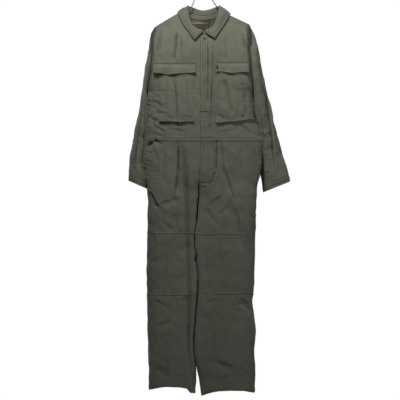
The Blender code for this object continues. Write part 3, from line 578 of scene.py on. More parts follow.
def spaced(first, last, pitch, ends=(True, True)):
    """Drops from first to last at a pitch, closer where a seam lies at an end."""
    return first + (last - first) * graded(last - first, pitch, *ends)


def half_bodice(face, side, pitch):
    """Drops, shares and points of half the bodice, from its middle to its side and its top to the waist."""
    line = top_line(side, face)
    width = tip_x(side) - MIDDLE_X
    share = (line[:, 0] - MIDDLE_X) / width
    inside = share < 1 - EDGE_SHARES[0] * 1.2
    share = np.concatenate([share[inside], 1 - EDGE_SHARES])
    top = np.concatenate([line[inside, 1], ridge_drop(MIDDLE_X + width * (1 - EDGE_SHARES))])
    upper = np.concatenate([TOP_SHARES, np.linspace(TOP_SHARES[-1], 1, int(96 / pitch) + 2)[1:]])
    head = top + upper[:, None] * (EVEN_ROWS_FROM - top)
    body = spaced(EVEN_ROWS_FROM, WAIST, pitch, (False, True))[1:]
    drops = np.concatenate([head, np.repeat(body[:, None], len(share), axis=1)])
    return drops, share, body_point(face, side, share[None, :], drops)


def bodice_border(found, points, drops, edges):
    """Normals turned into the seams' planes: the shoulders, the sides below the armpit, the waist."""
    ridge = (points[0, :, 0] <= NECK_BACK[0, 0]) | (points[0, :, 0] >= NECK_BACK[-1, 0])
    found[0, ridge, 1] = 0
    found[0] = unit(found[0])
    for edge in edges:
        flatten(found, (slice(np.argmax(drops[:, edge] >= ARMPIT), None), edge), 1)
    flatten(found, (-1,), 2)
    return found


def wrinkled(face, side, points, drops, rows, fade=1.0):
    """The depth to take along the normals, and the painted shade and highlight that its folds bring.

    The depth is the table's troughs and a sharper line down each main fold, less the cloth's soft waves.
    """
    x = points[..., 0]
    start = {"front": 0.0, "back": 37.0}[face] + (0 if side == "right" else 91.0)
    waves = WAVE_GAIN * ripple(x + start, -points[..., 2], SOFT_WAVES)
    folds = CREASE_GAIN * fold_depth(rows, x, drops, LIP)
    folds += fold_depth(FOLDS[face][SHARP_ROWS] * SHARPER, x, drops, LIP)
    return (folds - waves) * fade, painted_fold_shade_and_highlight(folds * fade)


CREASES_FRONT = np.array([
    (-100, 236, -113, 368, 2, 3.6, 5.4), (-62, 300, -72, 352, 0, 6, 0.8), (-86, 248, -88, 366, 2, 5, 2.4),
    (-166, 226, -179, 330, 3, 8, 2.6), (47, 275, 45, 366, 0, 3.4, 2.0), (70, 270, 70, 366, 0, 4, 1.4),
    (90, 262, 90, 366, 1, 5, 2.2), (150, 242, 166, 322, 2, 5, 2.6), (19.5, 262, 19, 552, 0, 2.6, 5.0),
    (-178, 300, -166, 352, -3, 5, 1.4), (-186, 380, -178, 450, 3, 5, 1.8), (150, 268, 178, 322, 3, 4, 2.4),
    (120, 280, 140, 350, 4, 7, 1.4), (58, 300, 62, 352, 0, 7, 1.0), (176, 380, 186, 452, -3, 5, 1.8),
    (-40, 420, -44, 640, 3, 7, 1.4), (34, 430, 40, 640, -3, 7, 1.3), (-190, 612, -150, 640, 0, 6, 1.8),
    (150, 610, 196, 650, 0, 6, 1.8), (-130, 628, -60, 640, 2, 5, 0.9), (50, 638, 130, 628, -2, 5, 0.9),
    (41, 262, 34, 530, 0, 2.6, 4.4), (35, 440, 28, 662, 0, 2.8, 3.8),
    (-190, 490, -165, 505, 0, 6, 1.5), (-196, 515, -160, 540, 3, 6, 1.5), (-185, 560, -150, 566, 0, 7, 1.3),
    (-200, 590, -150, 604, 3, 7, 1.6), (-196, 640, -160, 655, 0, 6, 1.4), (-27, 300, -28, 640, 1, 2.4, 1.3),
    (-16, 556, -16, 632, 0, 2.4, 1.6), (-103, 596, -96, 640, 0, 4, 1.6), (-206, 560, -186, 640, 4, 6, 1.6),
    (-196, 470, -184, 560, -4, 7, 1.4), (186, 470, 176, 560, 4, 7, 1.4)])
CREASES_BACK = np.array([
    (-150, 250, -158, 340, 4, 8, 2.2), (140, 250, 152, 340, -4, 8, 2.2), (-40, 240, -60, 400, 6, 12, 1.6),
    (40, 250, 66, 420, -6, 12, 1.6), (-170, 420, -120, 560, 8, 9, 2.4), (160, 430, 118, 560, -8, 9, 2.2),
    (-20, 480, -30, 650, 4, 10, 1.4), (20, 520, 34, 650, -3, 9, 1.2), (-180, 600, -110, 640, 3, 7, 1.8),
    (100, 640, 176, 604, 3, 7, 1.8)])


def painted_fold_shade_and_highlight(depth):
    """Painted shade in the folds: down to -1.2, dark, where they pass 8.5 mm, and a little painted
    highlight on ridges.
    """
    return -0.6 * ease((depth - 0.5) / 3.5) - 0.6 * ease((depth - 4.5) / 4) + np.clip(-0.07 * depth, 0, 0.2)


def bodice_panel(face, side, parts, creases, inner_edges, outer_felled):
    """A bodice panel from its halves: folds, waves and seams taken along the normals, and its wear with
    painted shade in folds, at the armholes and by the sides.
    """
    drops, share, points = parts
    outward = ((30, len(share) // 2), (0, FACE[face], 0))
    found = bodice_border(normals(points, outward), points, drops, inner_edges)
    down, along = run(points, 0), run(points, 1)
    to_side = along[:, -1:] - along if len(inner_edges) == 1 else to_nearer(along)
    to_waist = down[-1:] - down
    on_ridge = (points[:1, :, 0] < NECK_BACK[0, 0]) | (points[:1, :, 0] > NECK_BACK[-1, 0])
    to_shoulder = np.where(on_ridge, down, 200.0)
    depth, shade = wrinkled(face, side, points, drops, creases, ease(np.minimum(to_waist, down) / 10))
    side_seam = felled if outer_felled else plain_edge
    relief = plain_edge(to_waist, along) + side_seam(to_shoulder, along)
    relief += side_seam(to_side, down) * ease(down / 30)
    relief += puckered(to_side, drops, *BODICE_PUCKERED[side])
    if face == "front":
        # the armhole sinks, and painted shade darkens it
        sunk = bell(to_side, 12.0) * (1 - ease((drops - ARMPIT + 70) / 60)) * ease(down / 12)
        depth, shade = depth + ARMHOLE_SUNK * sunk, shade - 2.2 * sunk
    raised = points + found * (relief - depth)[..., None]
    # painted shade beside the side seam, from the chest down
    shade = shade - 0.6 * bell(to_side, 13.0) * ease((drops - 400) / 60)
    found = bodice_border(normals(raised, outward), raised, drops, inner_edges)
    shade = shade + 0.5 * bell(to_waist, 4.0)
    # painted shade under the left arm, beside the sleeve
    if side == "left":
        shade = shade - 1.4 * held(drops, 440, 570, 40, 50) * bell(points[..., 0] - UNDER_ARM_X, 6.0)
    return [drops, raised, found, share, seam_wear_and_shade([to_side, to_shoulder]) + shade]


def make_bodice():
    """The two fronts and the back, each kept as drops, points, normals, shares, and wear with painted
    shade.
    """
    panels = {}
    for side in ("right", "left"):
        half = half_bodice("front", side, FRONT_PITCH)
        panels["front_" + side] = bodice_panel("front", side, half, CREASES_FRONT, [-1], False)
        flatten(panels["front_" + side][2], (slice(None), 0), 0)
    right, left = (half_bodice("back", side, BACK_PITCH) for side in ("right", "left"))
    drops, points = (np.concatenate([right[i][:, ::-1], left[i][:, 1:]], axis=1) for i in (0, 2))
    share = np.concatenate([-right[1][::-1], left[1][1:]])
    panels["back"] = bodice_panel("back", "right", (drops, share, points), CREASES_BACK, [0, -1], True)
    return panels


def seam_wear_and_shade(distances):
    """By distance from the seams: pale wear on the seam's raised edge, and painted shade on the seam's line
    and just beyond its band.
    """
    nearest = np.minimum.reduce([np.broadcast_to(d, np.broadcast(*distances).shape) for d in distances])
    pale = bell(nearest - 3.5, 2.6)
    dark = 1.5 * bell(nearest, 1.7) + 0.7 * bell(nearest - 9.8, 1.2)
    return 0.4 * pale - 0.8 * dark


# ---- sleeves ----

SLEEVE_PITCH = 4.6
CREASES_SLEEVE = {
    "right": np.array([
        (-234, 470, -275, 800, 3, 4, 4.2), (-222, 500, -239, 800, 3, 4, 4.4),
        (-203, 270, -220, 520, 2, 4, 3.2),
        (-262, 690, -268, 800, 2, 4, 2.6), (-224, 300, -246, 480, 3, 5, 2.4),
        (-214, 380, -222, 470, -3, 5, 1.6), (-256, 560, -228, 590, 3, 5, 0.8),
        (-264, 612, -232, 628, -3, 5, 0.8), (-250, 672, -262, 720, 3, 4, 1.8),
        (-232, 640, -226, 730, 3, 6, 1.6),
        (-280, 640, -268, 660, 0, 5, 1.6), (-246, 775, -212, 790, 3, 5, 0.8),
        (-284, 770, -262, 782, 0, 4, 1.2)]),
    "left": np.array([
        (210, 262, 280, 812, 12, 3.4, 6.8), (221, 540, 238, 730, 3, 3.6, 3.2),
        (222, 300, 236, 420, -3, 6, 2.0), (236, 470, 256, 560, 4, 6, 2.2), (246, 600, 252, 690, -3, 6, 1.6),
        (243, 650, 262, 640, 0, 5, 1.2), (222, 640, 246, 662, 2, 5, 2.0), (280, 640, 300, 650, 0, 5, 1.4),
        (289, 706, 298, 800, 2, 5, 1.8), (300, 700, 316, 800, -3, 6, 1.6), (246, 748, 262, 742, 0, 4, 1.4),
        (240, 800, 262, 790, 0, 5, 1.4)])}
ELBOW_DROP = {"right": 652.0, "left": 640.0}
CUFF = 26.0
# Beside the body: the drops and the depths at which its side is read, as first, last and step, the gap
# left there, the most that a sleeve moves, and a distance that no gap reaches.
BESIDE_DROPS = (470.0, 720.0, 5.0)
BESIDE_DEPTHS = (-70.0, 70.0, 2.0)
SLEEVE_GAP = 1.4
SLEEVE_MOVE = 22.0
FAR = 1000.0


def armhole(panels, side, part, at):
    """The armhole's loop from 0, the shoulder, down the front and up the back to 2, the shoulder again."""
    edge = 0 if side == "right" else -1
    result = []
    for panel, where in ((panels["front_" + side], at[at <= 1]), (panels["back"], 2 - at[at > 1])):
        column_at = -1 if panel is not panels["back"] else edge
        drops, values = panel[0][:, column_at], panel[part][:, column_at]
        wanted = tip_drop(side) + (ARMPIT - tip_drop(side)) * (1 - np.cos(np.pi * where)) / 2
        result.append(straight(drops, values, wanted))
    return np.concatenate(result)


def sleeve_points(panels, side, rings, at):
    """Rings of a sleeve: the armhole's loop, then ovals whose outer and inner points follow the table."""
    turn = np.pi * at
    across = ((1 - np.cos(turn)) / 2)[None, :, None]
    rows = SLEEVE[side].astype(float)
    table = curve(np.arange(len(rows)), rows, np.clip(rings - 1, 0, None))
    outer = np.stack([table[:, 0], table[:, 4], -table[:, 1]], axis=-1)[:, None]
    inner = np.stack([table[:, 2], table[:, 4], -table[:, 3]], axis=-1)[:, None]
    ovals = outer + (inner - outer) * across
    ovals[..., 1] -= table[:, 5, None] * np.sin(turn)
    loop = armhole(panels, side, 1, at)[None]
    joined = np.clip(rings, 0, 1)[:, None, None]
    return loop * (1 - joined) + ovals * joined


def beside_body(points, side, across):
    """Moves a sleeve's inner half over to the body below the armpit, until they are about 2 mm apart.

    The gap is read at each point as its x less the body's x at the same y and drop; each ring takes its
    least gap, weighted by how far across the point lies.
    """
    outward = -1.0 if side == "right" else 1.0
    (top, below, rise), (front_y, back_y, step) = BESIDE_DROPS, BESIDE_DEPTHS
    levels, depths = np.arange(top, below, rise), np.arange(front_y, back_y + 1, step)
    share = np.concatenate([np.linspace(0.55, 0.97, 60), np.linspace(0.972, 1, 60)])
    table = []
    for level in levels:
        drops = np.full(len(share), level)
        line = np.concatenate([body_point("front", side, share, drops),
                               body_point("back", side, share[::-1], drops)])
        table.append(np.interp(depths, line[:, 1], line[:, 0] * outward))
    drop = -points[..., 2]
    body = read(np.array(table)[..., None], (drop - top) / rise, (points[..., 1] - front_y) / step)[..., 0]
    inner = (across > 0.5) & (drop > ARMPIT) & (drop < below - rise)
    inner = inner & (np.abs(points[..., 1]) < back_y - step)
    gap = np.where(inner, points[..., 0] * outward - body, FAR).min(axis=1)
    move = np.where(gap < 0.9 * FAR, np.clip(gap - SLEEVE_GAP, 0, SLEEVE_MOVE), 0)
    move = np.maximum(move, np.maximum(np.roll(move, 1), np.roll(move, -1)))
    move = np.convolve(np.pad(move, 1, mode="edge"), np.ones(3) / 3, mode="valid")[:, None]
    moved = points.copy()
    moved[..., 0] -= outward * move * ease(across * 1.1)
    return moved


def make_sleeve(panels, side, half_count=50):
    """A sleeve's front and back halves: folds, waves, the elbow's seam, felled seams and stitched cuff."""
    half = graded(170.0, 170.0 / half_count)
    at = np.concatenate([half, 1 + half[1:]])
    table = SLEEVE[side].astype(float)
    middles = np.stack([(table[:, 0] + table[:, 2]) / 2, (table[:, 1] + table[:, 3]) / 2], axis=-1)
    steps = np.concatenate([[0], 8 + measured(middles)])
    span = steps[-1]
    rings = np.interp(span * graded(span, SLEEVE_PITCH), steps, np.arange(len(table) + 1))
    points = beside_body(sleeve_points(panels, side, rings, at), side, (1 - np.cos(np.pi * at)) / 2)
    outward = ((len(rings) // 2, len(half) // 2), (0, -1, 0))
    found = normals(points, outward, wrap=True)
    down, along = run(points, 0), run(points, 1)
    middle = len(half) - 1
    to_inner = np.abs(along - along[:, middle:middle + 1])
    from_seam = np.minimum(to_nearer(along), to_inner)
    to_cuff = down[-1:] - down
    x, drop = points[..., 0], -points[..., 2]

    # folds and waves, which fade at the armhole, the cuff and both seams
    fade = ease(down / 40) * ease(to_cuff / 14)
    folds = 0.5 * fold_depth(FOLDS_SLEEVE[side], x, drop)
    folds = (folds + CREASE_GAIN * fold_depth(CREASES_SLEEVE[side], x, drop, LIP)) * fade
    folds = folds * (0.25 + 0.75 * np.abs(np.sin(np.pi * at)))
    depth = folds - WAVE_GAIN * ripple(x + points[..., 1] * 0.6, drop, SOFT_WAVES) * ease(down / 20)

    # seams: the armhole's, the cuff's hem, the two long ones and the elbow's across the front
    elbow = drop - ELBOW_DROP[side] - 0.25 * (points[..., 1] - 30)
    on_front = at[None, :] <= 1
    relief = plain_edge(down, along) + hemmed(to_cuff, along, CUFF)
    relief += np.where(on_front, plain_edge(from_seam, down), felled(from_seam, down)) * ease(down / 12)
    at_elbow = np.where(elbow > 0, felled(elbow, along), plain_edge(-elbow, along))
    relief += 0.45 * at_elbow * on_front * ease(from_seam / 8)
    points = points + found * (relief - depth)[..., None]
    found = normals(points, outward, wrap=True)
    for seam in (0, middle, len(at) - 1):
        flatten(found, (slice(None), seam), 1)
    points[0] += unit(points[1] - points[0]) * SLEEVE_SEAM
    found[0] = unit(found[0] + armhole(panels, side, 2, at))

    # wear: seams, cuff and elbow, painted shade and highlight of the folds, then painted shade at the
    # armhole, beside the cuff's stitches and on the inner side beside the body
    to_elbow = np.abs(elbow) + np.where(on_front, 0, 90)
    wear = seam_wear_and_shade([from_seam, to_cuff, down + 4]) + 0.3 * seam_wear_and_shade([to_elbow]) + painted_fold_shade_and_highlight(folds)
    wear += 0.3 * bell(to_cuff, 2.0) - 1.8 * bell(down, 5 + 9 * at) * on_front * ease(at / 0.2)
    wear -= 0.9 * bell(to_cuff - 12, 1.9) + 0.9 * bell(to_cuff - 24, 1.9)
    beside_body_shade = 0.7 if side == "right" else 0.3
    wear -= beside_body_shade * bell(to_inner, 20.0) * (1 - 0.6 * ease((drop - 560) / 200))
    # more painted shade on the left sleeve where it lies against the body
    if side == "left":
        wear -= 1.2 * bell(to_inner, 26.0) * (1 - ease((drop - 560) / 60))

    halves = {"sleeve_front_" + side: slice(0, middle + 1), "sleeve_back_" + side: slice(middle, None)}
    return {name: (points[:, cols], found[:, cols], wear[:, cols]) for name, cols in halves.items()}


# ---- legs ----

LEG_PITCH = 4.4
CREASES_LEG = {
    "front": np.array([
        (-215, 690, -196, 676, 0, 4, 2.4), (-210, 726, -186, 706, 0, 5, 1.8),
        (-205, 668, -180, 760, 5, 6, 1.6),
        (-214, 712, -192, 688, 3, 3, -2.6), (-198, 664, -188, 700, 2, 3, -2.4),
        (-178, 676, -152, 690, 2, 4, 1.8),
        (54.6, 650, 51, 800, 1, 3.6, 5.6), (51.5, 790, 37, 832, -3, 3.6, 5.6),
        (40, 826, 18, 845, -2, 3.6, 3.8),
        (-97, 800, -118, 908, 3, 5, 3.0), (-78, 660, -82, 860, 2, 13, 2.2), (46, 665, 43, 812, 0, 7, 1.6),
        (-73, 680, -52, 1560, 8, 12, 2.6), (-8, 838, 18, 830, 0, 3, 2.4),
        (-6, 852, 16, 848, 0, 3, 2.2), (-94, 655, -104, 885, 2, 4, 4.4), (70, 655, 82, 815, 2, 4, 4.2),
        (80, 760, 128, 910, -3, 4, 3.8),
        (-206, 868, -176, 926, 0, 3.4, 2.6), (-20, 940, -26, 1160, 2, 2.6, 2.4),
        (-220, 748, -200, 749, 0, 3, 1.2), (-202, 749, -203, 778, 0, 3, 1.2),
        (-150, 690, -158, 860, 4, 8, 1.4), (-60, 700, -66, 880, 3, 6, 1.6),
        (-40, 720, -30, 850, -3, 5, 1.4),
        (-130, 912, -84, 890, 3, 5, 0.9), (-192, 905, -170, 935, 0, 5, 2.2),
        (-170, 925, -130, 905, 3, 6, 1.6),
        (-48, 940, -24, 905, 2, 5, 0.6), (-110, 950, -98, 1026, 3, 5, 1.8),
        (-160, 985, -120, 1020, 4, 6, 1.2), (-200, 1010, -186, 1120, 3, 6, 1.4),
        (-40, 1060, -34, 1240, 3, 7, 1.4),
        (-150, 1060, -140, 1240, -4, 9, 1.2), (-206, 1150, -160, 1120, 0, 6, 1.3),
        (-200, 1290, -140, 1320, 4, 8, 1.4),
        (-100, 1300, -50, 1280, 3, 7, 1.2), (-190, 1400, -120, 1376, 4, 8, 1.2),
        (-40, 1350, -50, 1500, -4, 7, 1.6),
        (-150, 1440, -140, 1620, 4, 9, 1.4), (-190, 1500, -150, 1530, 3, 7, 1.2),
        (-110, 1600, -60, 1580, 3, 6, 1.2),
        (20, 700, 16, 860, 2, 5, 1.4), (50, 690, 62, 860, 3, 7, 1.4), (150, 690, 160, 840, -4, 7, 1.4),
        (196, 700, 206, 790, 3, 6, 1.6), (30, 920, 80, 885, 4, 6, 1.8), (10, 930, 40, 985, 4, 6, 1.6),
        (60, 960, 110, 925, 4, 7, 1.3), (128, 935, 142, 1035, 2, 5, 2.0), (180, 950, 196, 975, 0, 5, 2.0),
        (160, 1000, 190, 1120, 4, 8, 1.6), (60, 1060, 70, 1250, 4, 9, 1.3),
        (180, 1180, 150, 1240, 3, 7, 1.2),
        (150, 1282, 180, 1306, -3, 5, 2.4), (120, 1330, 186, 1352, 5, 7, 1.4),
        (20, 1300, 60, 1290, 2, 6, 1.2),
        (36, 1360, 44, 1520, 4, 8, 1.4), (90, 1380, 96, 1500, -4, 9, 1.2), (60, 1536, 120, 1556, 4, 6, 1.4),
        (30, 1600, 110, 1590, 3, 7, 1.2), (150, 1560, 190, 1600, 4, 7, 1.2)]),
    "back": np.array([
        (-200, 700, -150, 740, 6, 7, 2.0), (-60, 690, -50, 860, 4, 8, 1.6),
        (-150, 850, -60, 900, 8, 8, 2.2),
        (-130, 930, -50, 960, 6, 8, 1.8), (-190, 1000, -170, 1200, 5, 9, 1.4),
        (-120, 1250, -60, 1270, 4, 6, 2.0),
        (-190, 1330, -130, 1300, 5, 7, 1.8), (-150, 1400, -140, 1600, 5, 10, 1.4),
        (-60, 1380, -66, 1560, 3, 8, 1.4),
        (180, 705, 130, 740, 6, 7, 2.0), (40, 690, 46, 860, -4, 8, 1.6), (140, 850, 50, 905, -8, 8, 2.2),
        (130, 930, 50, 965, 6, 8, 1.8), (176, 1000, 160, 1200, 5, 9, 1.4), (120, 1250, 50, 1275, 4, 6, 2.0),
        (170, 1330, 110, 1300, 5, 7, 1.8), (140, 1400, 132, 1600, 5, 10, 1.4),
        (50, 1380, 56, 1560, 3, 8, 1.4)])}
# Drops between which the legs' sides pucker, the hem's depth, the drop at which a leg is divided and the
# distance that its inner edge is filled out over.
LEG_PUCKERED = {"right": (670, 850), "left": (670, 760)}
HEM_DEEP = 26.0
MID_LEG = 1100.0
BLUNT = 28.0


def leg_shares(side, face, drop, pitch):
    """Shares across a leg at even lengths of cloth, closer at both side seams."""
    trial = np.linspace(0, 1, 400)
    trial = (1 - np.cos(np.pi * trial)) / 2
    line = body_point(face, side, trial, np.full(400, drop))
    along = measured(line)
    return np.interp(graded(along[-1], pitch) * along[-1], along, trial)


def make_leg(side):
    """A leg's thigh, knee and shin in front and its back panel, as points, normals and wear with painted
    shade, by name.
    """
    made = {}
    low = HEM[side][-1, 1]
    for face, pitch in (("front", LEG_PITCH), ("back", LEG_PITCH * 1.25)):
        share = leg_shares(side, face, MID_LEG, pitch)
        hem_x = middle_x(side, low) + share * (edge_x(side, low) - middle_x(side, low))
        order = np.argsort(HEM[side][:, 0])
        hem = np.interp(hem_x, HEM[side][order, 0], HEM[side][order, 1])
        marks = [WAIST, THIGH_SEAM[side], KNEE_SEAM[side]] if face == "front" else [WAIST, KNEE_SEAM[side]]
        levels = [spaced(a, b, pitch, (True, face == "front")) for a, b in zip(marks[:-1], marks[1:])]
        marks_at = np.cumsum([0] + [len(level) - 1 for level in levels])
        level = np.concatenate([levels[0]] + [more[1:] for more in levels[1:]])
        to_knee = graded(hem.mean() - KNEE_SEAM[side], pitch, face == "front")[1:, None]
        shin = KNEE_SEAM[side] + to_knee * (hem - KNEE_SEAM[side])
        drops = np.concatenate([np.repeat(level[:, None], len(share), axis=1), shin])
        points = body_point(face, side, share[None, :], drops)

        outward = ((30, len(share) // 2), (0, FACE[face], 0))
        crotch = int(np.argmax(level >= CROTCH))
        found = leg_border(normals(points, outward), side, crotch)
        down, along = run(points, 0), run(points, 1)
        to_hem, to_side = down[-1:] - down, along[:, -1:] - along
        seams = [down] if face == "back" else [np.abs(down - down[mark:mark + 1]) for mark in marks_at]
        above = [drops >= level[mark] for mark in marks_at]
        fade = ease(np.minimum(to_hem, down) / 14)
        depth, shade = wrinkled(face, side, points, drops, CREASES_LEG[face], fade)

        # seams: the waist's, the hem, the side's, the inner one and those across the front
        relief = felled(down, along) + hemmed(to_hem, along, HEM_DEEP)
        side_seam = felled if face == "back" else plain_edge
        relief += side_seam(to_side, down) * ease(down / 20)
        relief += puckered(to_side, drops, *LEG_PUCKERED[side])
        relief += (plain_edge if face == "back" else felled)(along, down) * ease((drops - WAIST) / 60)
        for seam, below, mark in list(zip(seams, above, marks_at))[1:]:
            even = 0.8 + 0.55 * np.sin(along / 17.0 + 0.01 * level[mark] + np.sin(along / 41.0))
            relief += np.where(below, plain_edge(seam, along), felled(seam, along)) * even
        points = pressed(blunt(points, drops) + found * (relief - depth)[..., None], side, drops)
        found = leg_border(normals(points, outward), side, crotch)

        # wear: seams and hem, the uneven knee seam, painted shade on the outer side and growing towards the
        # hem, and a pale waist edge with a painted shadow line just below its band
        wear = seam_wear_and_shade(seams[1:2] + [to_side, along, to_hem + 3]) + shade + 0.4 * bell(to_hem, 2.0)
        if face == "front":
            uneven = 1 + 0.7 * np.sin(along / 9.0 + np.sin(along / 23.0))
            wear += 0.45 * seam_wear_and_shade([seams[2] + 0 * along]) * uneven
        outer_side_shade = bell(to_side, 45.0) * ease((drops - 850) / 200)
        wear -= (0.55 if side == "left" else 0.35) * outer_side_shade + 0.5 * ease((drops - 1380) / 220)
        wear += 0.5 * bell(down, 5.0) - 1.3 * bell(down - 9.5, 2.2) * ease(along / 30 + 0.3)

        if face == "back":
            made["leg_back_" + side] = (points, found, wear)
            continue
        for mark in marks_at[1:]:
            flatten(found, (mark,), 2)
        bounds = [0, *marks_at[1:], len(points) - 1]
        for name, first, last in zip(("thigh", "knee", "shin"), bounds[:-1], bounds[1:]):
            rows = slice(first, last + 1)
            made[f"{name}_front_{side}"] = (points[rows], found[rows], wear[rows])
    return made


def blunt(points, drops):
    """Fills each leg out beside its inner edge.

    Across the first 28 mm, y comes up to its value there by 1 - (1 - across / 28)^7.
    """
    across = np.abs(points[..., 0] - points[:, :1, 0])
    col = np.argmax(across >= BLUNT, axis=1)
    full = np.take_along_axis(points[..., 1], col[:, None], axis=1)
    share = (1 - (1 - np.clip(across / BLUNT, 0, 1)) ** 7) * (across < BLUNT)
    filled = points.copy()
    filled[..., 1] += (full - points[..., 1]) * share * held(drops, CROTCH - CROTCH_RISE, 1500, 60, 110)
    return filled


def pressed(points, side, drops):
    """Legs that lie against each other: near its inner edge each leg moves over to the line between them.

    The move dies away as e^(-(across / 26)^2), and the line leans by a quarter of y, so that nothing shows
    through.
    """
    line = column(MIDDLE, 1, drops) + (-0.5 if side == "right" else 0.5)
    across = np.abs(points[..., 0] - points[:, :1, 0])
    near = bell(across, 26.0) * held(drops, CROTCH, 1490, 40, 110)
    lean = 0.25 * np.clip(points[..., 1], -30, 30)
    moved = points.copy()
    moved[..., 0] += (line - points[:, :1, 0] + lean) * near
    return moved


def leg_border(found, side, crotch):
    """Normals turned into the planes of the side, middle and inner seams, the waist and the hem."""
    flatten(found, (slice(None), -1), 1)
    flatten(found, (slice(None, crotch), 0), 0)
    found[crotch:, 0] = (1.0 if side == "right" else -1.0, 0.0, 0.0)
    flatten(found, (0,), 2)
    flatten(found, (-1,), 2)
    return found


# ---- collar ----

# how far the collar's ends run straight from station to station, for each row from the neck to the edge
CRISP_ROWS = (0, 0, 0, 0, 0, 0.25, 0.7, 1)


def collar_table(index):
    """One column of both halves of the collar's table, in the order of the stations."""
    return np.concatenate([COLLAR["right"][:, index], COLLAR["left"][-2::-1, index]]).astype(float)


def neck_line():
    """The neck's inner edge and the bodice's normals along it at the collar's stations."""
    places, facing = [], []
    lines = {"right": NECK_FRONT["right"][::-1], "back": NECK_BACK[1:-1], "left": NECK_FRONT["left"][::-1]}
    for side, table in lines.items():
        face = "back" if side == "back" else "front"
        for x, drop in table:
            half = side if side != "back" else ("right" if x <= MIDDLE_X else "left")
            width = tip_x(half) - MIDDLE_X
            spot = (x - MIDDLE_X) / width
            shares, drops = np.array([spot, spot + 0.004, spot]), np.array([drop, drop, drop + 0.8])
            near = body_point(face, half, shares, drops)
            normal = unit(np.cross(near[1] - near[0], near[2] - near[0]))
            normal = normal * np.sign(normal[1]) * FACE[face]
            places.append(near[0])
            facing.append(normal)
    return np.array(places), np.array(facing)


def make_collar():
    """Stand and fall, lofted from the neck's edge up to the crest, over it and down to the outer edge."""
    neck, facing = neck_line()
    neck = neck - facing * 2.0
    crest = np.stack([collar_table(0), collar_table(1), -collar_table(2)], axis=-1)
    edge_xs, edge_drops, lift = collar_table(3), collar_table(4), collar_table(5)
    half = len(COLLAR["right"])
    sides = [("right", "front")] * 6 + [("right", None)] + [("right", "back")] * 4
    sides += ([("left", "front")] * 6 + [("left", None)] + [("left", "back")] * 4)[-2::-1]
    edge_ys = np.zeros(len(crest))
    for i, (side, face) in enumerate(sides):
        if face:
            edge_ys[i] = body_y(face, side, edge_xs[i], edge_drops[i]) + FACE[face] * lift[i]
    edge = np.stack([edge_xs, edge_ys, -edge_drops], axis=-1)

    # rows from the neck's edge to the crest, over it and down to the outer edge, clear of the bodice
    upright = normals(np.stack([neck, crest]), ((0, half - 1), (0, 1, 0)))[0]
    outward = unit(upright * (1, 1, 0)) * COLLAR_TURN / 2
    dip = np.array([0, 0, COLLAR_TURN / 2])
    inside_top, outside_top = crest - outward - dip, crest + outward - dip
    neck = neck + unit(inside_top - neck) * 1.0
    middle = neck + (inside_top - neck) * STAND_SHARE
    bulge = outward * LEAF_BULGE + dip / 2
    leaves = [outside_top + (edge - outside_top) * down + bulge * full for down, full in LEAF_ROWS]
    for i, (side, face) in enumerate(sides):
        if face is None:
            continue
        for leaf, least in ((leaves[0][i], abs(neck[i, 1]) + LEAF_LIFT), (leaves[1][i], 0)):
            clear = FACE[face] * body_y(face, side, leaf[0], -leaf[2]) + LEAF_LIFT
            leaf[1] = FACE[face] * max(FACE[face] * leaf[1], clear, least)
    rows = np.stack([neck, middle, inside_top, crest, outside_top, *leaves, edge])

    # a fine grid through them, straight from station to station at the collar's two ends
    stations = np.arange(rows.shape[1], dtype=float)
    end = stations[-1]
    wide = np.sort(np.concatenate([np.linspace(0, end, 171), [0.04, 0.12, end - 0.12, end - 0.04]]))
    curved = np.stack([curve(stations, row, wide) for row in rows])
    folded = np.stack([straight(stations, row, wide) for row in rows])
    at_ends = np.interp(np.minimum(wide, end - wide), [0, 3.4, 4.6], [1, 1, 0])
    crisp = (at_ends * np.array(CRISP_ROWS)[:, None])[..., None]
    across = curved + (folded - curved) * crisp
    tall = np.concatenate([np.linspace(0, 1, 7), np.linspace(1, 4, 22)[1:], np.linspace(4, 7, 18)[1:-3],
                           [6.6, 6.8, 6.92, 7]])
    heights = np.arange(len(rows), dtype=float)
    points = np.stack([curve(heights, across[:, j], tall) for j in range(len(wide))], axis=1)
    outward = ((-2, len(wide) // 2), (0, 1, 0))
    found = normals(points, outward)

    # the fall's stitched edge, waves and two dents
    down, along = run(points, 0), run(points, 1)
    seam = int(np.argmax(tall >= 1))
    to_edge = np.minimum(down[-1:] - down, to_nearer(along))
    on_fall = ease((tall[:, None] - 3.4) / 0.5)
    sunk = 0.5 * (1 - ease((to_edge - 5) / 2)) - 0.45 * bell(to_edge - 6.0, 1.1) - 0.8 * bell(to_edge, 1.0)
    waves = ripple(along * 1.2, down + 60, SOFT_WAVES) * 0.8
    dent = -1.6 * bell(wide[None] - 3.1, 0.35) - 1.4 * bell(wide[None] - end + 3.0, 0.3)
    points = points + found * ((sunk + waves + dent * ease((tall[:, None] - 4) / 2)) * on_fall)[..., None]
    found = normals(points, outward)

    stand, fall = points[:seam + 1].copy(), points[seam:].copy()
    stand_found, fall_found = found[:seam + 1], found[seam:]
    stand[-1] -= unit(points[seam + 1] - points[seam]) * 0.2
    wear = (seam_wear_and_shade([np.maximum(to_edge - 3, 0)]) - 0.3) * on_fall + 0.35 * bell(tall[:, None] - 3.1, 0.5)
    return {"collar_stand": (stand, stand_found, 0.0 * wear[:seam + 1]),
            "collar_fall": (fall, fall_found, wear[seam:])}


# ---- what lies on the panels ----


# the row of a panel's grid at which its widths are read
WIDTH_ROW = 40


def at_shares(line, shares):
    """One number at every share, or a line of shares and numbers read there."""
    return np.interp(shares, *zip(*line)) if hasattr(line, "__len__") else np.full(len(shares), float(line))


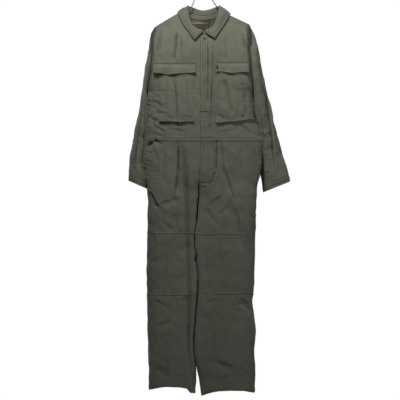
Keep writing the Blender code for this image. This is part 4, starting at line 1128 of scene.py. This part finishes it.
def on_panel(panel, start, end, top, bottom, pitch):
    """A grid laid on a panel between two shares and two drops, which may change along the shares.

    It gives the grid's points and unit normals, its lengths across and down, and its shares from 0 to 1
    across and down.
    """
    drops, points, found, share, _ = panel
    near_end, near_start = (points[WIDTH_ROW, int(np.argmax(share >= place))] for place in (end, start))
    u = graded(np.linalg.norm(near_end - near_start), pitch)
    cols = np.interp(start + (end - start) * u, share, np.arange(len(share)))
    high, low = at_shares(top, u), at_shares(bottom, u)
    v = graded(float(np.mean(low - high)), pitch)
    levels = high + v[:, None] * (low - high)
    by_column = drops[:, np.clip(np.round(cols).astype(int), 0, drops.shape[1] - 1)]
    places = np.arange(len(drops))
    rows = np.stack([np.interp(levels[:, i], by_column[:, i], places) for i in range(len(cols))], axis=-1)
    base = read(points, rows, cols[None])
    u, v = np.meshgrid(u, v)
    return base, unit(read(found, rows, cols[None])), run(base, 1), run(base, 0), u, v


POCKET_CREASES = {
    "right": np.array([
        (-113, 425, -101, 600, 5, 6, 2.4), (-142, 430, -150, 560, 3, 8, 1.4),
        (-60, 440, -56, 590, -3, 7, 1.6),
        (-84, 470, -90, 590, 3, 8, 1.2), (-160, 560, -120, 590, 3, 7, 1.4),
        (-70, 572, -44, 590, 2, 5, 1.2)]),
    "left": np.array([
        (82, 425, 113, 575, 0, 9, 2.2), (150, 430, 160, 570, 4, 8, 1.6), (60, 450, 64, 590, -3, 7, 1.2),
        (130, 470, 134, 590, 3, 8, 1.2), (50, 570, 90, 590, 3, 6, 1.4), (170, 540, 150, 590, 2, 6, 1.3)])}
FLAP_BOTTOMS = {
    "right": [(0, 408), (0.1, 409.5), (0.38, 410), (0.52, 412), (0.63, 416.5), (0.72, 413), (0.86, 408),
              (1, 406.5)],
    "left": [(0, 404), (0.2, 404.5), (0.42, 409.5), (0.6, 409), (0.78, 405), (1, 403.5)]}
POCKET_BOTTOMS = {
    "right": [(0, 597), (0.45, 599.5), (1, 595)],
    "left": [(0, 602), (0.35, 599), (0.75, 593), (1, 588)]}
PEN_SLOT = 0.30


def make_pocket(panels, side):
    """A bellows pocket: its patch, the gusset round three sides and the flap over its mouth."""
    panel = panels["front_" + side]
    start, end, top = POCKET[side]
    base, found, along, down, _, v = on_panel(panel, start, end, top, POCKET_BOTTOMS[side], 4.0)
    to_side, to_bottom = to_nearer(along), down[-1:] - down
    to_edge = np.minimum(to_side, to_bottom)

    # the patch's stand off the front, its bag, folds, waves and stitched edge
    stand = (POCKET_STANDS[0] + (POCKET_STANDS[1] - POCKET_STANDS[0]) * v) * (0.4 + 0.6 * ease(down / 26))
    full = ease(to_side / 22) * ease(to_bottom / 20)
    bag = 2.6 * full * np.sin(np.pi * np.clip(v, 0, 1) ** 1.6)
    depth = 1.5 * fold_depth(POCKET_CREASES[side], base[..., 0], -base[..., 2], LIP) * ease(to_edge / 10)
    waves = ripple(base[..., 0] + 40, -base[..., 2], SOFT_WAVES) * 0.7
    edge = 0.25 * (1 - ease((to_edge - 6) / 2)) - 0.35 * bell(to_edge - 6.4, 0.9)
    edge += 1.6 * bell(to_bottom, 9.0) * (1 + 0.8 * np.sin(along / 13.0 + (1 if side == "left" else 3)))
    edge -= 1.4 * bell(to_edge, 1.6)
    stand = stand * (1 - 0.45 * bell(to_side, 9.0) * ease(to_bottom / 30))
    points = base + found * (stand + bag + waves + edge - depth)[..., None]
    outward = ((20, 15), (0, -1, 0))
    # wear and painted shade at its stitched edges, painted shade and highlight in its folds, and a painted
    # shadow band under the flap's edge
    wear = 0.2 * seam_wear_and_shade([to_edge + 1.5]) + painted_fold_shade_and_highlight(depth) - 0.8 * bell(down - 36, 7.0)
    made = {"chest_pocket_" + side: (points, normals(points, outward), wear)}
    made.update(make_gusset(side, points, base, found))

    # the flap, rolled out over the pocket's mouth, on the left with a stitched slot
    start, end, top = FLAP[side]
    base, found, along, down, u, v = on_panel(panel, start, end, top, FLAP_BOTTOMS[side], 3.6)
    rolled = ease((down + 2) / 24.0)
    stand = 1.2 + (POCKET_STANDS[0] + 1.6) * rolled + 4.2 * v ** 2
    to_edge = np.minimum(to_nearer(along), down[-1:] - down)
    dips = 2.4 * np.sin(2 * np.pi * u * 2.2 + (0.6 if side == "right" else 2.0)) * v ** 2
    dips += ripple(along, down, SOFT_WAVES) * 0.5
    edge = 0.35 * (1 - ease((to_edge - 5.4) / 1.6)) - 0.3 * bell(to_edge - 6.2, 0.8)
    edge -= 1.1 * bell(to_edge, 1.4) + 0.6 * bell(down - 6.5, 0.9)
    if side == "left":
        slot = (u - PEN_SLOT) * along[:, -1:]
        edge -= 0.5 * bell(slot, 1.0) + 0.35 * bell(slot - 6, 1.0)
    points = base + found * (stand + dips + edge)[..., None]
    # wear and painted shade at its edges, and painted shade along its top seam
    wear = 0.5 * seam_wear_and_shade([to_edge + 1.5]) - 1.9 * bell(down, 3.0)
    made["pocket_flap_" + side] = (points, normals(points, ((8, 15), (0, -1, 0))), wear)
    return made


def make_gusset(side, patch, base, found):
    """The gusset: a strip folded in under the patch's edge, down, along the bottom and up again."""
    path = [(slice(0, -1), 0), (-1, slice(None)), (slice(-2, None, -1), -1)]
    high = np.concatenate([patch[place] for place in path])
    low = np.concatenate([base[place] for place in path])
    normal = np.concatenate([found[place] for place in path])
    centre = patch[patch.shape[0] // 2, patch.shape[1] // 2]
    inward = unit((centre - low) * (1, 0, 1))
    t = np.linspace(0, 1, 9)[:, None, None]
    foot, head = low + normal * 0.6, high - normal * (THICK + 0.7)
    points = foot + (head - foot) * t + inward * (2.4 * np.sin(np.pi * t) + 0.3)
    found = normals(points, ((4, len(high) // 2), (0, -0.3, -1)))
    return {"pocket_gusset_" + side: (points, found, np.zeros(points.shape[:2]))}


TAB_SHARES = (0.300, 0.336)
TAB_DROPS = (377, 401)


def strip(panel, start, end, top, bottom, pitch, stand, border):
    """A flat band on a panel: its points stand off the panel's normals and its border turns down."""
    base, found, along, down, _, v = on_panel(panel, start, end, top, bottom, pitch)
    to_edge = np.minimum.reduce([to_nearer(along), down, down[-1:] - down])
    return base, found, stand - border * bell(to_edge, 1.1), (along, down, to_edge, v)


def bare(points, place):
    """A piece without wear, its normals towards the front at one place."""
    return points, normals(points, (place, (0, -1, 0))), np.zeros(points.shape[:2])


def make_small_pieces(panels):
    """The covered front strip, the tab on the flap and the label inside the neck."""
    made = {}
    start, end, top, bottom = PLACKET
    base, found, relief, (along, down, to_edge, v) = strip(
        panels["front_left"], start + 0.002, end, top, bottom, 2.6, 2.2, 1.0)
    width = along[:, -1:]
    relief = relief - 0.2 * bell(along - 3, 0.9)
    relief += 0.45 * np.sin(down / 11.0 + np.sin(down / 29.0)) * ease(along / 12) * ease(to_edge / 4)
    relief += 0.9 * bell(width - along, 5) * np.sin(np.pi * np.clip(v, 0, 1))
    relief -= 0.5 * bell(down[-1:] - down - 5, 1.0)
    points = base + found * relief[..., None]
    made["front_placket"] = (points, normals(points, ((20, 5), (0, -1, 0))), seam_wear_and_shade([to_edge + 1.5]))
    base, found, relief, _ = strip(panels["front_left"], *TAB_SHARES, *TAB_DROPS, 1.6, 10.4, 0.5)
    made["flap_tab"] = bare(base + found * relief[..., None], (8, 5))
    drops, raised, facing, share, _ = panels["back"]
    inner = [drops, raised - facing * 1.3, -facing, share, None]
    width = tip_x("right") - MIDDLE_X, tip_x("left") - MIDDLE_X
    ends = [(x - MIDDLE_X) / abs(width[0] if x < MIDDLE_X else width[1]) for x in LABEL_X]
    base, found, relief, _ = strip(inner, *ends, *LABEL_DROPS, 2.4, 1.7, 0.4)
    made["neck_label"] = bare(base + found * relief[..., None], (8, 12))
    return made


def tube_faces(rings, sides):
    """Numbers of a tube's points, ring by ring, and the quads between its rings."""
    index = np.arange(rings * sides).reshape(-1, sides)
    after = np.roll(index, -1, axis=1)
    return index, np.stack([index[:-1], after[:-1], after[1:], index[1:]], axis=-1).reshape(-1, 4)


def turned(name, profile, sides, centre, tilt):
    """A turned piece: a profile of radius and height carried round its axis, tilted about x and placed."""
    turn = np.linspace(0, 2 * np.pi, sides, endpoint=False)
    radius, height = np.array(profile, float).T
    ring = np.stack([radius[:, None] * np.cos(turn), radius[:, None] * np.sin(turn),
                     np.repeat(height[:, None], sides, axis=1)], axis=-1)
    cos, sin = np.cos(tilt), np.sin(tilt)
    ring = ring @ np.array([[1, 0, 0], [0, cos, sin], [0, -sin, cos]]) + np.array(centre)
    index, faces = tube_faces(len(ring), sides)
    faces = faces.tolist() + [index[0, ::-1].tolist(), index[-1].tolist()]
    return mesh_object(name, ring.reshape(-1, 3), faces, np.zeros((index.size, 2)))


def make_snap(colour):
    """The snap's cap, a low dome with a rolled rim."""
    x, drop = SNAP_AT
    y = body_y("front", "left", x, drop) - 5.6
    rim = [(2.6, -0.7), (4.4, -0.7), (4.9, -0.35), (5.0, 0.0), (4.8, 0.4), (4.3, 0.62), (3.7, 0.55),
           (3.2, 0.5), (2.0, 0.66), (0.9, 0.74), (0.25, 0.75)]
    obj = turned("top_snap_cap", rim, 32, (x, y, -drop), np.radians(76))
    finish_piece(obj, "top_snap", colour)


HOOK_RADIUS = 18.0
WIRE_RADIUS = 2.0
WIRE_SIDES = 14
WIRE_BELOW_RIDGE = 8.0
BAR_DROP = 262.0
HOOK_SWEEP = np.radians(np.linspace(215, -52, 12))
# The wire's points, x and drop: below the hook, down one arm as far as the shoulder, round each end of
# the bar, and up the other arm to its end beside the first wire. Between, it runs under the ridge at
# these x.
NECK_WIRE = [(3.5, 41), (0.3, 50), (0, 60), (-6, 74), (-32, 121), (-51, 158), (-60, 167)]
RIGHT_UNDER = [-80, -96, -130, -165]
BAR_WIRE = [
    (-176, 227), (-181, 238), (-176, 252), (-160, BAR_DROP), (-80, BAR_DROP), (0, BAR_DROP), (80, BAR_DROP),
    (153, BAR_DROP), (169, 252), (174, 238), (170, 224)]
LEFT_UNDER = [155, 125, 103, 86]
END_WIRE = [(66, 163), (56, 150), (37, 121), (12, 76), (6, 64), (4.8, 54)]


def wire_route():
    """Points along the wire: the hook, one arm, the bar, the other arm and its end beside the neck."""
    centre = HOOK_RADIUS - WIRE_RADIUS
    hook = [(HOOK_RADIUS * np.cos(a), centre - HOOK_RADIUS * np.sin(a)) for a in HOOK_SWEEP]
    right_arm, left_arm = (
        [(x, ridge_drop(x) + WIRE_BELOW_RIDGE) for x in under] for under in (RIGHT_UNDER, LEFT_UNDER))
    return np.array(hook + NECK_WIRE + right_arm + BAR_WIRE + left_arm + END_WIRE, float)


def make_wire(colour):
    """The hanger: a round section carried along the wire's curve, with a small cone at each cut end."""
    route = wire_route()
    along = measured(route)
    steps = np.linspace(0, along[-1], int(along[-1] / 3.0))
    x, drop = curve(along, route, steps).T
    path = np.stack([x, np.zeros(len(x)), -drop], axis=-1)
    tangent = unit(np.gradient(path, axis=0))
    side = np.array([0.0, 1.0, 0.0])
    up = unit(np.cross(tangent, side))
    turn = np.linspace(0, 2 * np.pi, WIRE_SIDES, endpoint=False)
    radius = np.full(len(x), WIRE_RADIUS - 0.05)
    radius[[0, -1]] = 0.5 * WIRE_RADIUS
    radius[[1, -2]] = 0.97 * WIRE_RADIUS
    ring = path[:, None] + radius[:, None, None] * (
        np.cos(turn)[None, :, None] * side + np.sin(turn)[None, :, None] * up[:, None])
    index, faces = tube_faces(len(ring), WIRE_SIDES)
    normal = np.cross(ring[5, 1] - ring[5, 0], ring[6, 0] - ring[5, 0])
    faces = (faces if normal @ (ring[5, 0] - path[5]) < 0 else faces[:, ::-1]).tolist()
    caps = [index[0].tolist(), index[-1, ::-1].tolist()]
    uv = np.stack(np.meshgrid(turn * 2, steps), axis=-1).reshape(-1, 2)
    obj = mesh_object("bent_wire", ring.reshape(-1, 3), faces + caps, uv)
    finish_piece(obj, "hanger", colour)


# ---- stitching ----

STITCH_PITCH = 3.4
# A stitch, a small spindle of six points: along its row, across it and off the cloth.
STITCH = np.array([
    (-1.3, 0, 0.05), (1.3, 0, 0.05), (0, -0.34, 0.1), (0, 0.34, 0.1), (0, 0, 0.42), (0, 0, -0.25)])
STITCH_FACES = np.array([
    (0, 2, 4), (2, 1, 4), (1, 3, 4), (3, 0, 4), (2, 0, 5), (1, 2, 5), (3, 1, 5), (0, 3, 5)])


def seam_line(points, found, border, distance):
    """Points and normals of a line that keeps its distance from one border of a grid."""
    if border in ("left", "right"):
        points, found = points.transpose(1, 0, 2), found.transpose(1, 0, 2)
    if border in ("bottom", "right"):
        points, found = points[::-1], found[::-1]
    down = run(points, 0)
    places = np.array([np.interp(distance, depths, np.arange(len(down))) for depths in down.T])
    cols = np.arange(points.shape[1], dtype=float)
    return read(points, places, cols), read(found, places, cols)


def laid_line(points, found, places):
    """Points and normals every 3 mm along a line of x and drop on a panel whose rows lie level."""
    places = np.array(places, float)
    along = measured(places)
    x, drop = curve(along, places, np.arange(0, along[-1], 3.0)).T
    middle = points.shape[1] // 2
    rows = np.interp(drop, -points[:, middle, 2], np.arange(len(points)))
    near = points[np.clip(np.round(rows).astype(int), 0, len(points) - 1)]
    cols = np.array([np.interp(x[i], *ordered(near[i, :, 0])) for i in range(len(x))])
    return read(points, rows, cols), read(found, rows, cols)


def ordered(values):
    """Values and their places, in rising order, for reading a place from a value."""
    order = np.argsort(values)
    return values[order], np.arange(len(values))[order]


def stitch_rows(name, lines, colour, inset=2.0):
    """One mesh of small spindles laid end to end along lines on the cloth, a stitch's pitch apart."""
    verts, faces, count = [], [], 0
    for line, facing in lines:
        along = measured(line)
        if along[-1] < 4 * inset:
            continue
        at = np.arange(inset, along[-1] - inset, STITCH_PITCH)
        centre = straight(along, line, at)
        forward = unit(straight(along, line, at + 0.8) - centre)
        normal = unit(straight(along, facing, at))
        side = unit(np.cross(normal, forward))
        frames = np.stack([forward, side, normal], axis=1)
        made = centre[:, None] + np.einsum("vk,nkc->nvc", STITCH, frames)
        verts.append(made.reshape(-1, 3))
        faces.append((STITCH_FACES[None] + count + 6 * np.arange(len(at))[:, None, None]).reshape(-1, 3))
        count += 6 * len(at)
    verts = np.concatenate(verts)
    obj = mesh_object(name, verts, np.concatenate(faces), verts[:, ::2])
    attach(obj, "root")
    obj.data.materials.append(colour)
    return obj


# ---- finishes ----


def feed(node, key, value):
    """Links a socket to one of a node's inputs, or sets the input to a plain value."""
    if hasattr(value, "is_output"):
        node.id_data.links.new(value, node.inputs[key])
    else:
        node.inputs[key].default_value = value


def nodes_of(name, rough, metallic=0.0):
    """A new material with its shader and a helper that adds a node with its inputs and settings."""
    made = bpy.data.materials.new(name)
    made.use_nodes = True
    shader = made.node_tree.nodes["Principled BSDF"]
    feed(shader, "Roughness", rough)
    feed(shader, "Metallic", metallic)

    def add(kind, inputs=(), **settings):
        node = made.node_tree.nodes.new("ShaderNode" + kind)
        for key, value in settings.items():
            setattr(node, key, value)
        for key, value in inputs:
            feed(node, key, value)
        return node

    return made, shader, add


def blended(add, factor, first, second):
    """A mix of two colours."""
    node = add("Mix", [(0, factor), (6, first), (7, second)], data_type="RGBA", blend_type="MIX")
    return node.outputs[2]


def sums(add, kind, *values):
    """A math node on numbers or sockets."""
    return add("Math", enumerate(values), operation=kind).outputs[0]


def noise(add, place, scale, detail, rough=0.5, distortion=0.0):
    """Noise over a place, by its scale, detail, roughness and distortion."""
    settings = [("Vector", place), ("Scale", scale), ("Detail", detail), ("Roughness", rough),
                ("Distortion", distortion)]
    return add("TexNoise", settings).outputs["Fac"]


def bumped(add, shader, *layers):
    """Bumps one over another, each by its height socket, its strength and its depth in metres."""
    below = []
    for height, strength, depth in layers:
        bump = add("Bump", [("Height", height), ("Strength", strength), ("Distance", depth)] + below)
        below = [("Normal", bump.outputs["Normal"])]
    feed(shader, *below[0])


def toned(tone, by=1.0):
    """A colour times a number, opaque."""
    return [part * by for part in tone] + [1]


def twill(name, base, pale, dark, rib=480.0):
    """Cotton twill: slanting ribs, slubs, a washed colour, paler on worn seams and painted highlights,
    darker with painted shade in seams, folds and recesses.
    """
    made, shader, add = nodes_of(name, 0.92)
    uv = add("UVMap", uv_map="cloth").outputs["UV"]
    place = add("TexCoord").outputs["Object"]
    ribs = add("TexWave", [("Vector", uv), ("Scale", rib), ("Distortion", 0.8), ("Detail", 1.0),
                           ("Detail Scale", 0.4)],
               wave_type="BANDS", bands_direction="DIAGONAL").outputs["Fac"]
    slub = noise(add, uv, 420.0, 3.0, 0.6)
    cloud = noise(add, place, 7.0, 5.0, 0.62)
    fade = noise(add, place, 46.0, 4.0, 0.7)
    drawn = add("Mapping", [("Vector", place), ("Scale", (1.0, 1.0, 0.3))]).outputs["Vector"]
    crease = noise(add, drawn, 40.0, 2.0, 0.5, 1.2)

    wear = add("Attribute", attribute_name="wear", attribute_type="GEOMETRY").outputs["Fac"]
    # the wear attribute: above zero it pales the cloth, as worn seams and painted highlights; below zero it
    # mixes in the dark colour as painted shade
    patchy = sums(add, "MULTIPLY_ADD", fade, 1.5, -0.2)
    raised = sums(add, "MULTIPLY", sums(add, "MAXIMUM", wear, 0.0), patchy)
    rubbed_and_highlit = sums(add, "MINIMUM", sums(add, "MULTIPLY", raised, 0.62), 0.6)
    sunk = sums(add, "MAXIMUM", sums(add, "MULTIPLY", wear, -1.0), 0.0)
    painted_groove_shade = sums(add, "MINIMUM", sums(add, "MULTIPLY", sunk, 0.52), 0.92)

    mottle = sums(add, "MULTIPLY_ADD", cloud, 1.6, -0.45)
    tone = blended(add, mottle, toned(base, 0.86), toned(base, 1.16))
    tone = blended(add, sums(add, "MULTIPLY", ribs, 0.22), tone, toned(pale))
    tone = blended(add, sums(add, "MULTIPLY_ADD", slub, 0.7, -0.2), tone, toned(base, 0.8))
    tone = blended(add, rubbed_and_highlit, tone, toned(pale))
    feed(shader, "Base Color", blended(add, painted_groove_shade, tone, toned(dark)))

    bumped(add, shader, (ribs, 0.32, 0.0004), (slub, 0.25, 0.0005), (fade, 0.22, 0.004),
           (crease, 0.28, 0.005))
    feed(shader, "Sheen Weight", 0.18)
    feed(shader, "Sheen Roughness", 0.6)
    feed(shader, "Specular IOR Level", 0.22)
    return made


def steel_finish():
    """Bright plated wire with fine draw lines along it and a few dull spots."""
    made, shader, add = nodes_of("bright plated wire", 0.24, 1.0)
    place = add("TexCoord").outputs["Object"]
    spots, lines = noise(add, place, 60.0, 3.0), noise(add, place, 900.0, 2.0)
    feed(shader, "Base Color", blended(add, spots, (0.42, 0.42, 0.42, 1), (0.72, 0.72, 0.71, 1)))
    feed(shader, "Roughness", sums(add, "MULTIPLY_ADD", spots, 0.3, 0.12))
    bumped(add, shader, (lines, 0.15, 0.0002))
    return made


def label_finish(name, base, stripe=None):
    """A smooth woven label: fine cross threads, and a plain pale stripe near its top edge if asked."""
    made, shader, add = nodes_of(name, 0.7)
    uv = add("UVMap", uv_map="cloth").outputs["UV"]
    threads = add("TexWave", [("Vector", uv), ("Scale", 900.0), ("Distortion", 0.4)],
                  wave_type="BANDS", bands_direction="Y").outputs["Fac"]
    mottle = noise(add, uv, 160.0, 3.0)
    tone = blended(add, sums(add, "MULTIPLY", threads, 0.3), toned(base), toned(base, 1.7))
    tone = blended(add, sums(add, "MULTIPLY", mottle, 0.3), tone, toned(base, 0.6))
    if stripe:
        low, high = stripe
        height = add("SeparateXYZ", [("Vector", uv)]).outputs["Y"]
        on = sums(add, "MULTIPLY", sums(add, "GREATER_THAN", height, low * MM),
                  sums(add, "LESS_THAN", height, high * MM))
        tone = blended(add, sums(add, "MULTIPLY", on, 0.8), tone, (0.42, 0.38, 0.27, 1))
    feed(shader, "Base Color", tone)
    bumped(add, shader, (threads, 0.3, 0.0002))
    return made


def thread_finish(name, tone):
    """Sewing thread: a twisted sheen over a mottled olive."""
    made, shader, add = nodes_of(name, 0.62)
    mottle = noise(add, add("TexCoord").outputs["Object"], 900.0, 2.0)
    feed(shader, "Base Color", blended(add, mottle, toned(tone, 0.7), toned(tone, 1.3)))
    feed(shader, "Sheen Weight", 0.2)
    return made


def paint_finish():
    """Satin olive paint on metal, rubbed bright at raised places."""
    made, shader, add = nodes_of("satin snap paint", 0.6, 0.1)
    rub = noise(add, add("TexCoord").outputs["Object"], 420.0, 4.0)
    colour = blended(add, sums(add, "MULTIPLY_ADD", rub, 1.4, -0.5), (0.05, 0.052, 0.04, 1),
                     (0.085, 0.088, 0.066, 1))
    feed(shader, "Base Color", colour)
    bumped(add, shader, (rub, 0.2, 0.0002))
    return made


def floor_finish():
    """Pale floor paint, faintly clouded."""
    made, shader, add = nodes_of("pale floor paint", 0.8)
    cloud = noise(add, add("TexCoord").outputs["Object"], 3.0, 4.0)
    feed(shader, "Base Color", blended(add, cloud, (0.74, 0.74, 0.73, 1), (0.80, 0.80, 0.79, 1)))
    return made


# ---- the suit, put together ----

# The one olive twill comes as two copies: painted lighter on the upper pieces and painted darker on the
# legs, for the light that falls off downwards.
CLOTH_PAINTED_LIGHTER = "washed olive twill"
CLOTH_PAINTED_DARKER = "olive twill"
LABEL_CLOTH = "dark label weave"
LABELS = ("flap_tab", "neck_label")
PARTS_PAINTED_DARKER = ("leg_back", "thigh_front", "knee_front", "shin_front")

# Rows of stitches beside each part's borders, by their distances from the border.
FELLED_LEG = [("bottom", STITCH_LINES), ("left", STITCH_LINES)]
STITCHED = {
    "bodice_front": [("bottom", STITCH_LINES)],
    "bodice_back": [("bottom", STITCH_LINES)],
    "sleeve_front": [("bottom", CUFF_LINES)],
    "sleeve_back": [("bottom", CUFF_LINES), ("left", STITCH_LINES), ("right", STITCH_LINES)],
    "leg_back": [("bottom", HEM_LINES), ("right", STITCH_LINES)],
    "thigh_front": FELLED_LEG,
    "knee_front": FELLED_LEG,
    "shin_front": [("bottom", HEM_LINES), ("left", STITCH_LINES)],
    "chest_pocket": [("left", (6.4,)), ("right", (6.4,)), ("bottom", (6.4,))],
    "pocket_flap": [("top", (2.4, 7.6)), ("left", (6.2,)), ("right", (6.2,)), ("bottom", (6.2,))],
    "front_placket": [("left", (2.6,)), ("bottom", (5.0,))],
    "collar_fall": [("bottom", (6.0,)), ("left", (6.0,)), ("right", (6.0,))],
    "neck_label": [("left", (1.4,)), ("right", (1.4,)), ("top", (1.4,)), ("bottom", (1.4,))]}

# Rows of stitches across a piece, by x and drop: the fly's two curved rows, and beside the flap's tab.
LAID = {
    "thigh_front_left": [
        [(54.6, 682), (54, 745), (51.5, 796), (46, 816), (36, 832), (24, 843), (6, 850)],
        [(51, 682), (50.4, 745), (48, 794), (43, 812), (33.5, 828), (22.5, 839), (6, 845.5)]],
    "pocket_flap_left": [[(62.4, 373), (62.4, 399)], [(95, 373), (95, 401)]]}


def kind(name):
    """A piece's name without its side."""
    return name.replace("_left", "").replace("_right", "")


def area_of(obj):
    """Half the surface of a thin closed shell, in square metres."""
    mesh = obj.data
    areas = np.empty(len(mesh.polygons))
    mesh.polygons.foreach_get("area", areas)
    return areas.sum() / 2


def dress(made, finishes, threads):
    """Makes each cloth piece's shell and stitches, and works out its cloth's area."""
    for name, (points, found, wear) in made.items():
        what = kind(name)
        slot = LABEL_CLOTH if what in LABELS else CLOTH_PAINTED_DARKER if what in PARTS_PAINTED_DARKER else CLOTH_PAINTED_LIGHTER
        thick = LABEL_THICK if what in LABELS else THICK
        obj = shell(name + "_cloth", points, found, thick, wear)
        finish_piece(obj, name, finishes[name] if name in finishes else finishes[slot])
        rows = [(border, at) for border, distances in STITCHED.get(what, []) for at in distances]
        lines = [seam_line(points, found, border, at) for border, at in rows]
        lines += [laid_line(points, found, places) for places in LAID.get(name, [])]
        sewn = []
        if lines:
            sewn = [stitch_rows(name + "_stitches", lines, threads[slot])]
        area = area_of(obj)


# ---- studio ----

# The floor's level and its front, back and half width, in metres, as are the next ones.
FLOOR_LEVEL, FLOOR_FRONT, FLOOR_BACK, FLOOR_HALF = -1.765, -0.6, 0.8, 1.0
SURROUND_SEEN, SURROUND_LIGHT = 1.0, 0.024
# Each light's place, the place it is turned to, its size and its power in watts.
LIGHTS = {
    "key": ((-0.32, -1.02, 0.88), (0, 0, -0.6), 0.35, 33),
    "fill": ((1.3, -1.4, -0.2), (0, 0, -0.4), 0.8, 12),
    "back": ((0.3, 2.4, 0.6), (0, 0, -0.8), 1.8, 60)}
# The camera's distance, the width it takes in there, the x and z it looks at, and its sensor in mm.
CAMERA_DISTANCE, CAMERA_ACROSS, CAMERA_X, CAMERA_Z, SENSOR = 12.0, 1.56, -0.0117, -0.901, 36.0


def area_light(name, place, target, size, power):
    """A soft square light at a place, turned to a target."""
    data = bpy.data.lights.new(name, "AREA")
    data.size = size
    data.energy = power
    light = bpy.data.objects.new(name, data)
    light.location = place
    light.rotation_euler = (Vector(target) - Vector(place)).to_track_quat("-Z", "Y").to_euler()
    bpy.context.scene.collection.objects.link(light)


def surround():
    """A white world: bright where the camera sees it, and weak where it lights the suit."""
    world = bpy.data.worlds.new("white surround")
    bpy.context.scene.world = world
    world.use_nodes = True
    tree = world.node_tree
    mixed = tree.nodes.new("ShaderNodeMixShader")
    feed(mixed, "Fac", tree.nodes.new("ShaderNodeLightPath").outputs["Is Camera Ray"])
    backgrounds = (tree.nodes["Background"], tree.nodes.new("ShaderNodeBackground"))
    for i, (background, strength) in enumerate(zip(backgrounds, (SURROUND_LIGHT, SURROUND_SEEN))):
        feed(background, "Color", (1, 1, 1, 1))
        feed(background, "Strength", strength)
        feed(mixed, 1 + i, background.outputs[0])
    feed(tree.nodes["World Output"], "Surface", mixed.outputs[0])


def studio():
    """A white surround, a pale floor below the hems, a key from the upper left, fill, back and camera."""
    bpy.context.scene.view_settings.view_transform = "Standard"
    surround()
    corners = np.array([(x, y, FLOOR_LEVEL) for x, y in (
        (-FLOOR_HALF, FLOOR_FRONT), (FLOOR_HALF, FLOOR_FRONT), (FLOOR_HALF, FLOOR_BACK),
        (-FLOOR_HALF, FLOOR_BACK))])
    floor = mesh_object("floor", corners / MM, [[0, 1, 2, 3]], corners[:, :2] / MM)
    floor.data.materials.append(floor_finish())
    for name, settings in LIGHTS.items():
        area_light(name, *settings)
    data = bpy.data.cameras.new("front camera")
    data.sensor_width = SENSOR
    data.lens = SENSOR * CAMERA_DISTANCE / CAMERA_ACROSS
    data.clip_end = 100.0
    camera = bpy.data.objects.new("front camera", data)
    camera.location = (CAMERA_X, -CAMERA_DISTANCE, CAMERA_Z)
    camera.rotation_euler = (np.pi / 2, 0, 0)
    bpy.context.scene.collection.objects.link(camera)
    bpy.context.scene.camera = camera


def main():
    """Builds every cloth piece, the snap and the wire, and the studio."""
    panels = make_bodice()
    made = {"bodice_" + name: (panel[1], panel[2], panel[4]) for name, panel in panels.items()}
    for side in ("right", "left"):
        made.update(make_sleeve(panels, side))
        made.update(make_leg(side))
        made.update(make_pocket(panels, side))
    made.update(make_collar())
    made.update(make_small_pieces(panels))
    # each cloth's colours: its ground, the pale of its worn places and painted highlights, and the dark of
    # its painted shade; the copy painted darker, for the legs, stands in for the shade lower down
    finishes = {
        CLOTH_PAINTED_LIGHTER: twill("olive twill cloth painted lighter", (0.108, 0.113, 0.080), (0.205, 0.212, 0.165),
                           (0.013, 0.014, 0.010)),
        CLOTH_PAINTED_DARKER: twill("olive twill cloth", (0.096, 0.101, 0.074), (0.18, 0.187, 0.148),
                          (0.012, 0.013, 0.009)),
        "neck_label": label_finish("neck label weave", (0.085, 0.077, 0.047), (5.0, 8.5)),
        "flap_tab": label_finish("plain tab weave", (0.008, 0.008, 0.007))}
    threads = {
        CLOTH_PAINTED_LIGHTER: thread_finish("olive thread painted lighter", (0.15, 0.15, 0.11)),
        CLOTH_PAINTED_DARKER: thread_finish("olive thread", (0.10, 0.10, 0.08)),
        LABEL_CLOTH: thread_finish("dark thread", (0.02, 0.02, 0.016))}
    dress(made, finishes, threads)
    make_snap(paint_finish())
    make_wire(steel_finish())
    studio()


main()
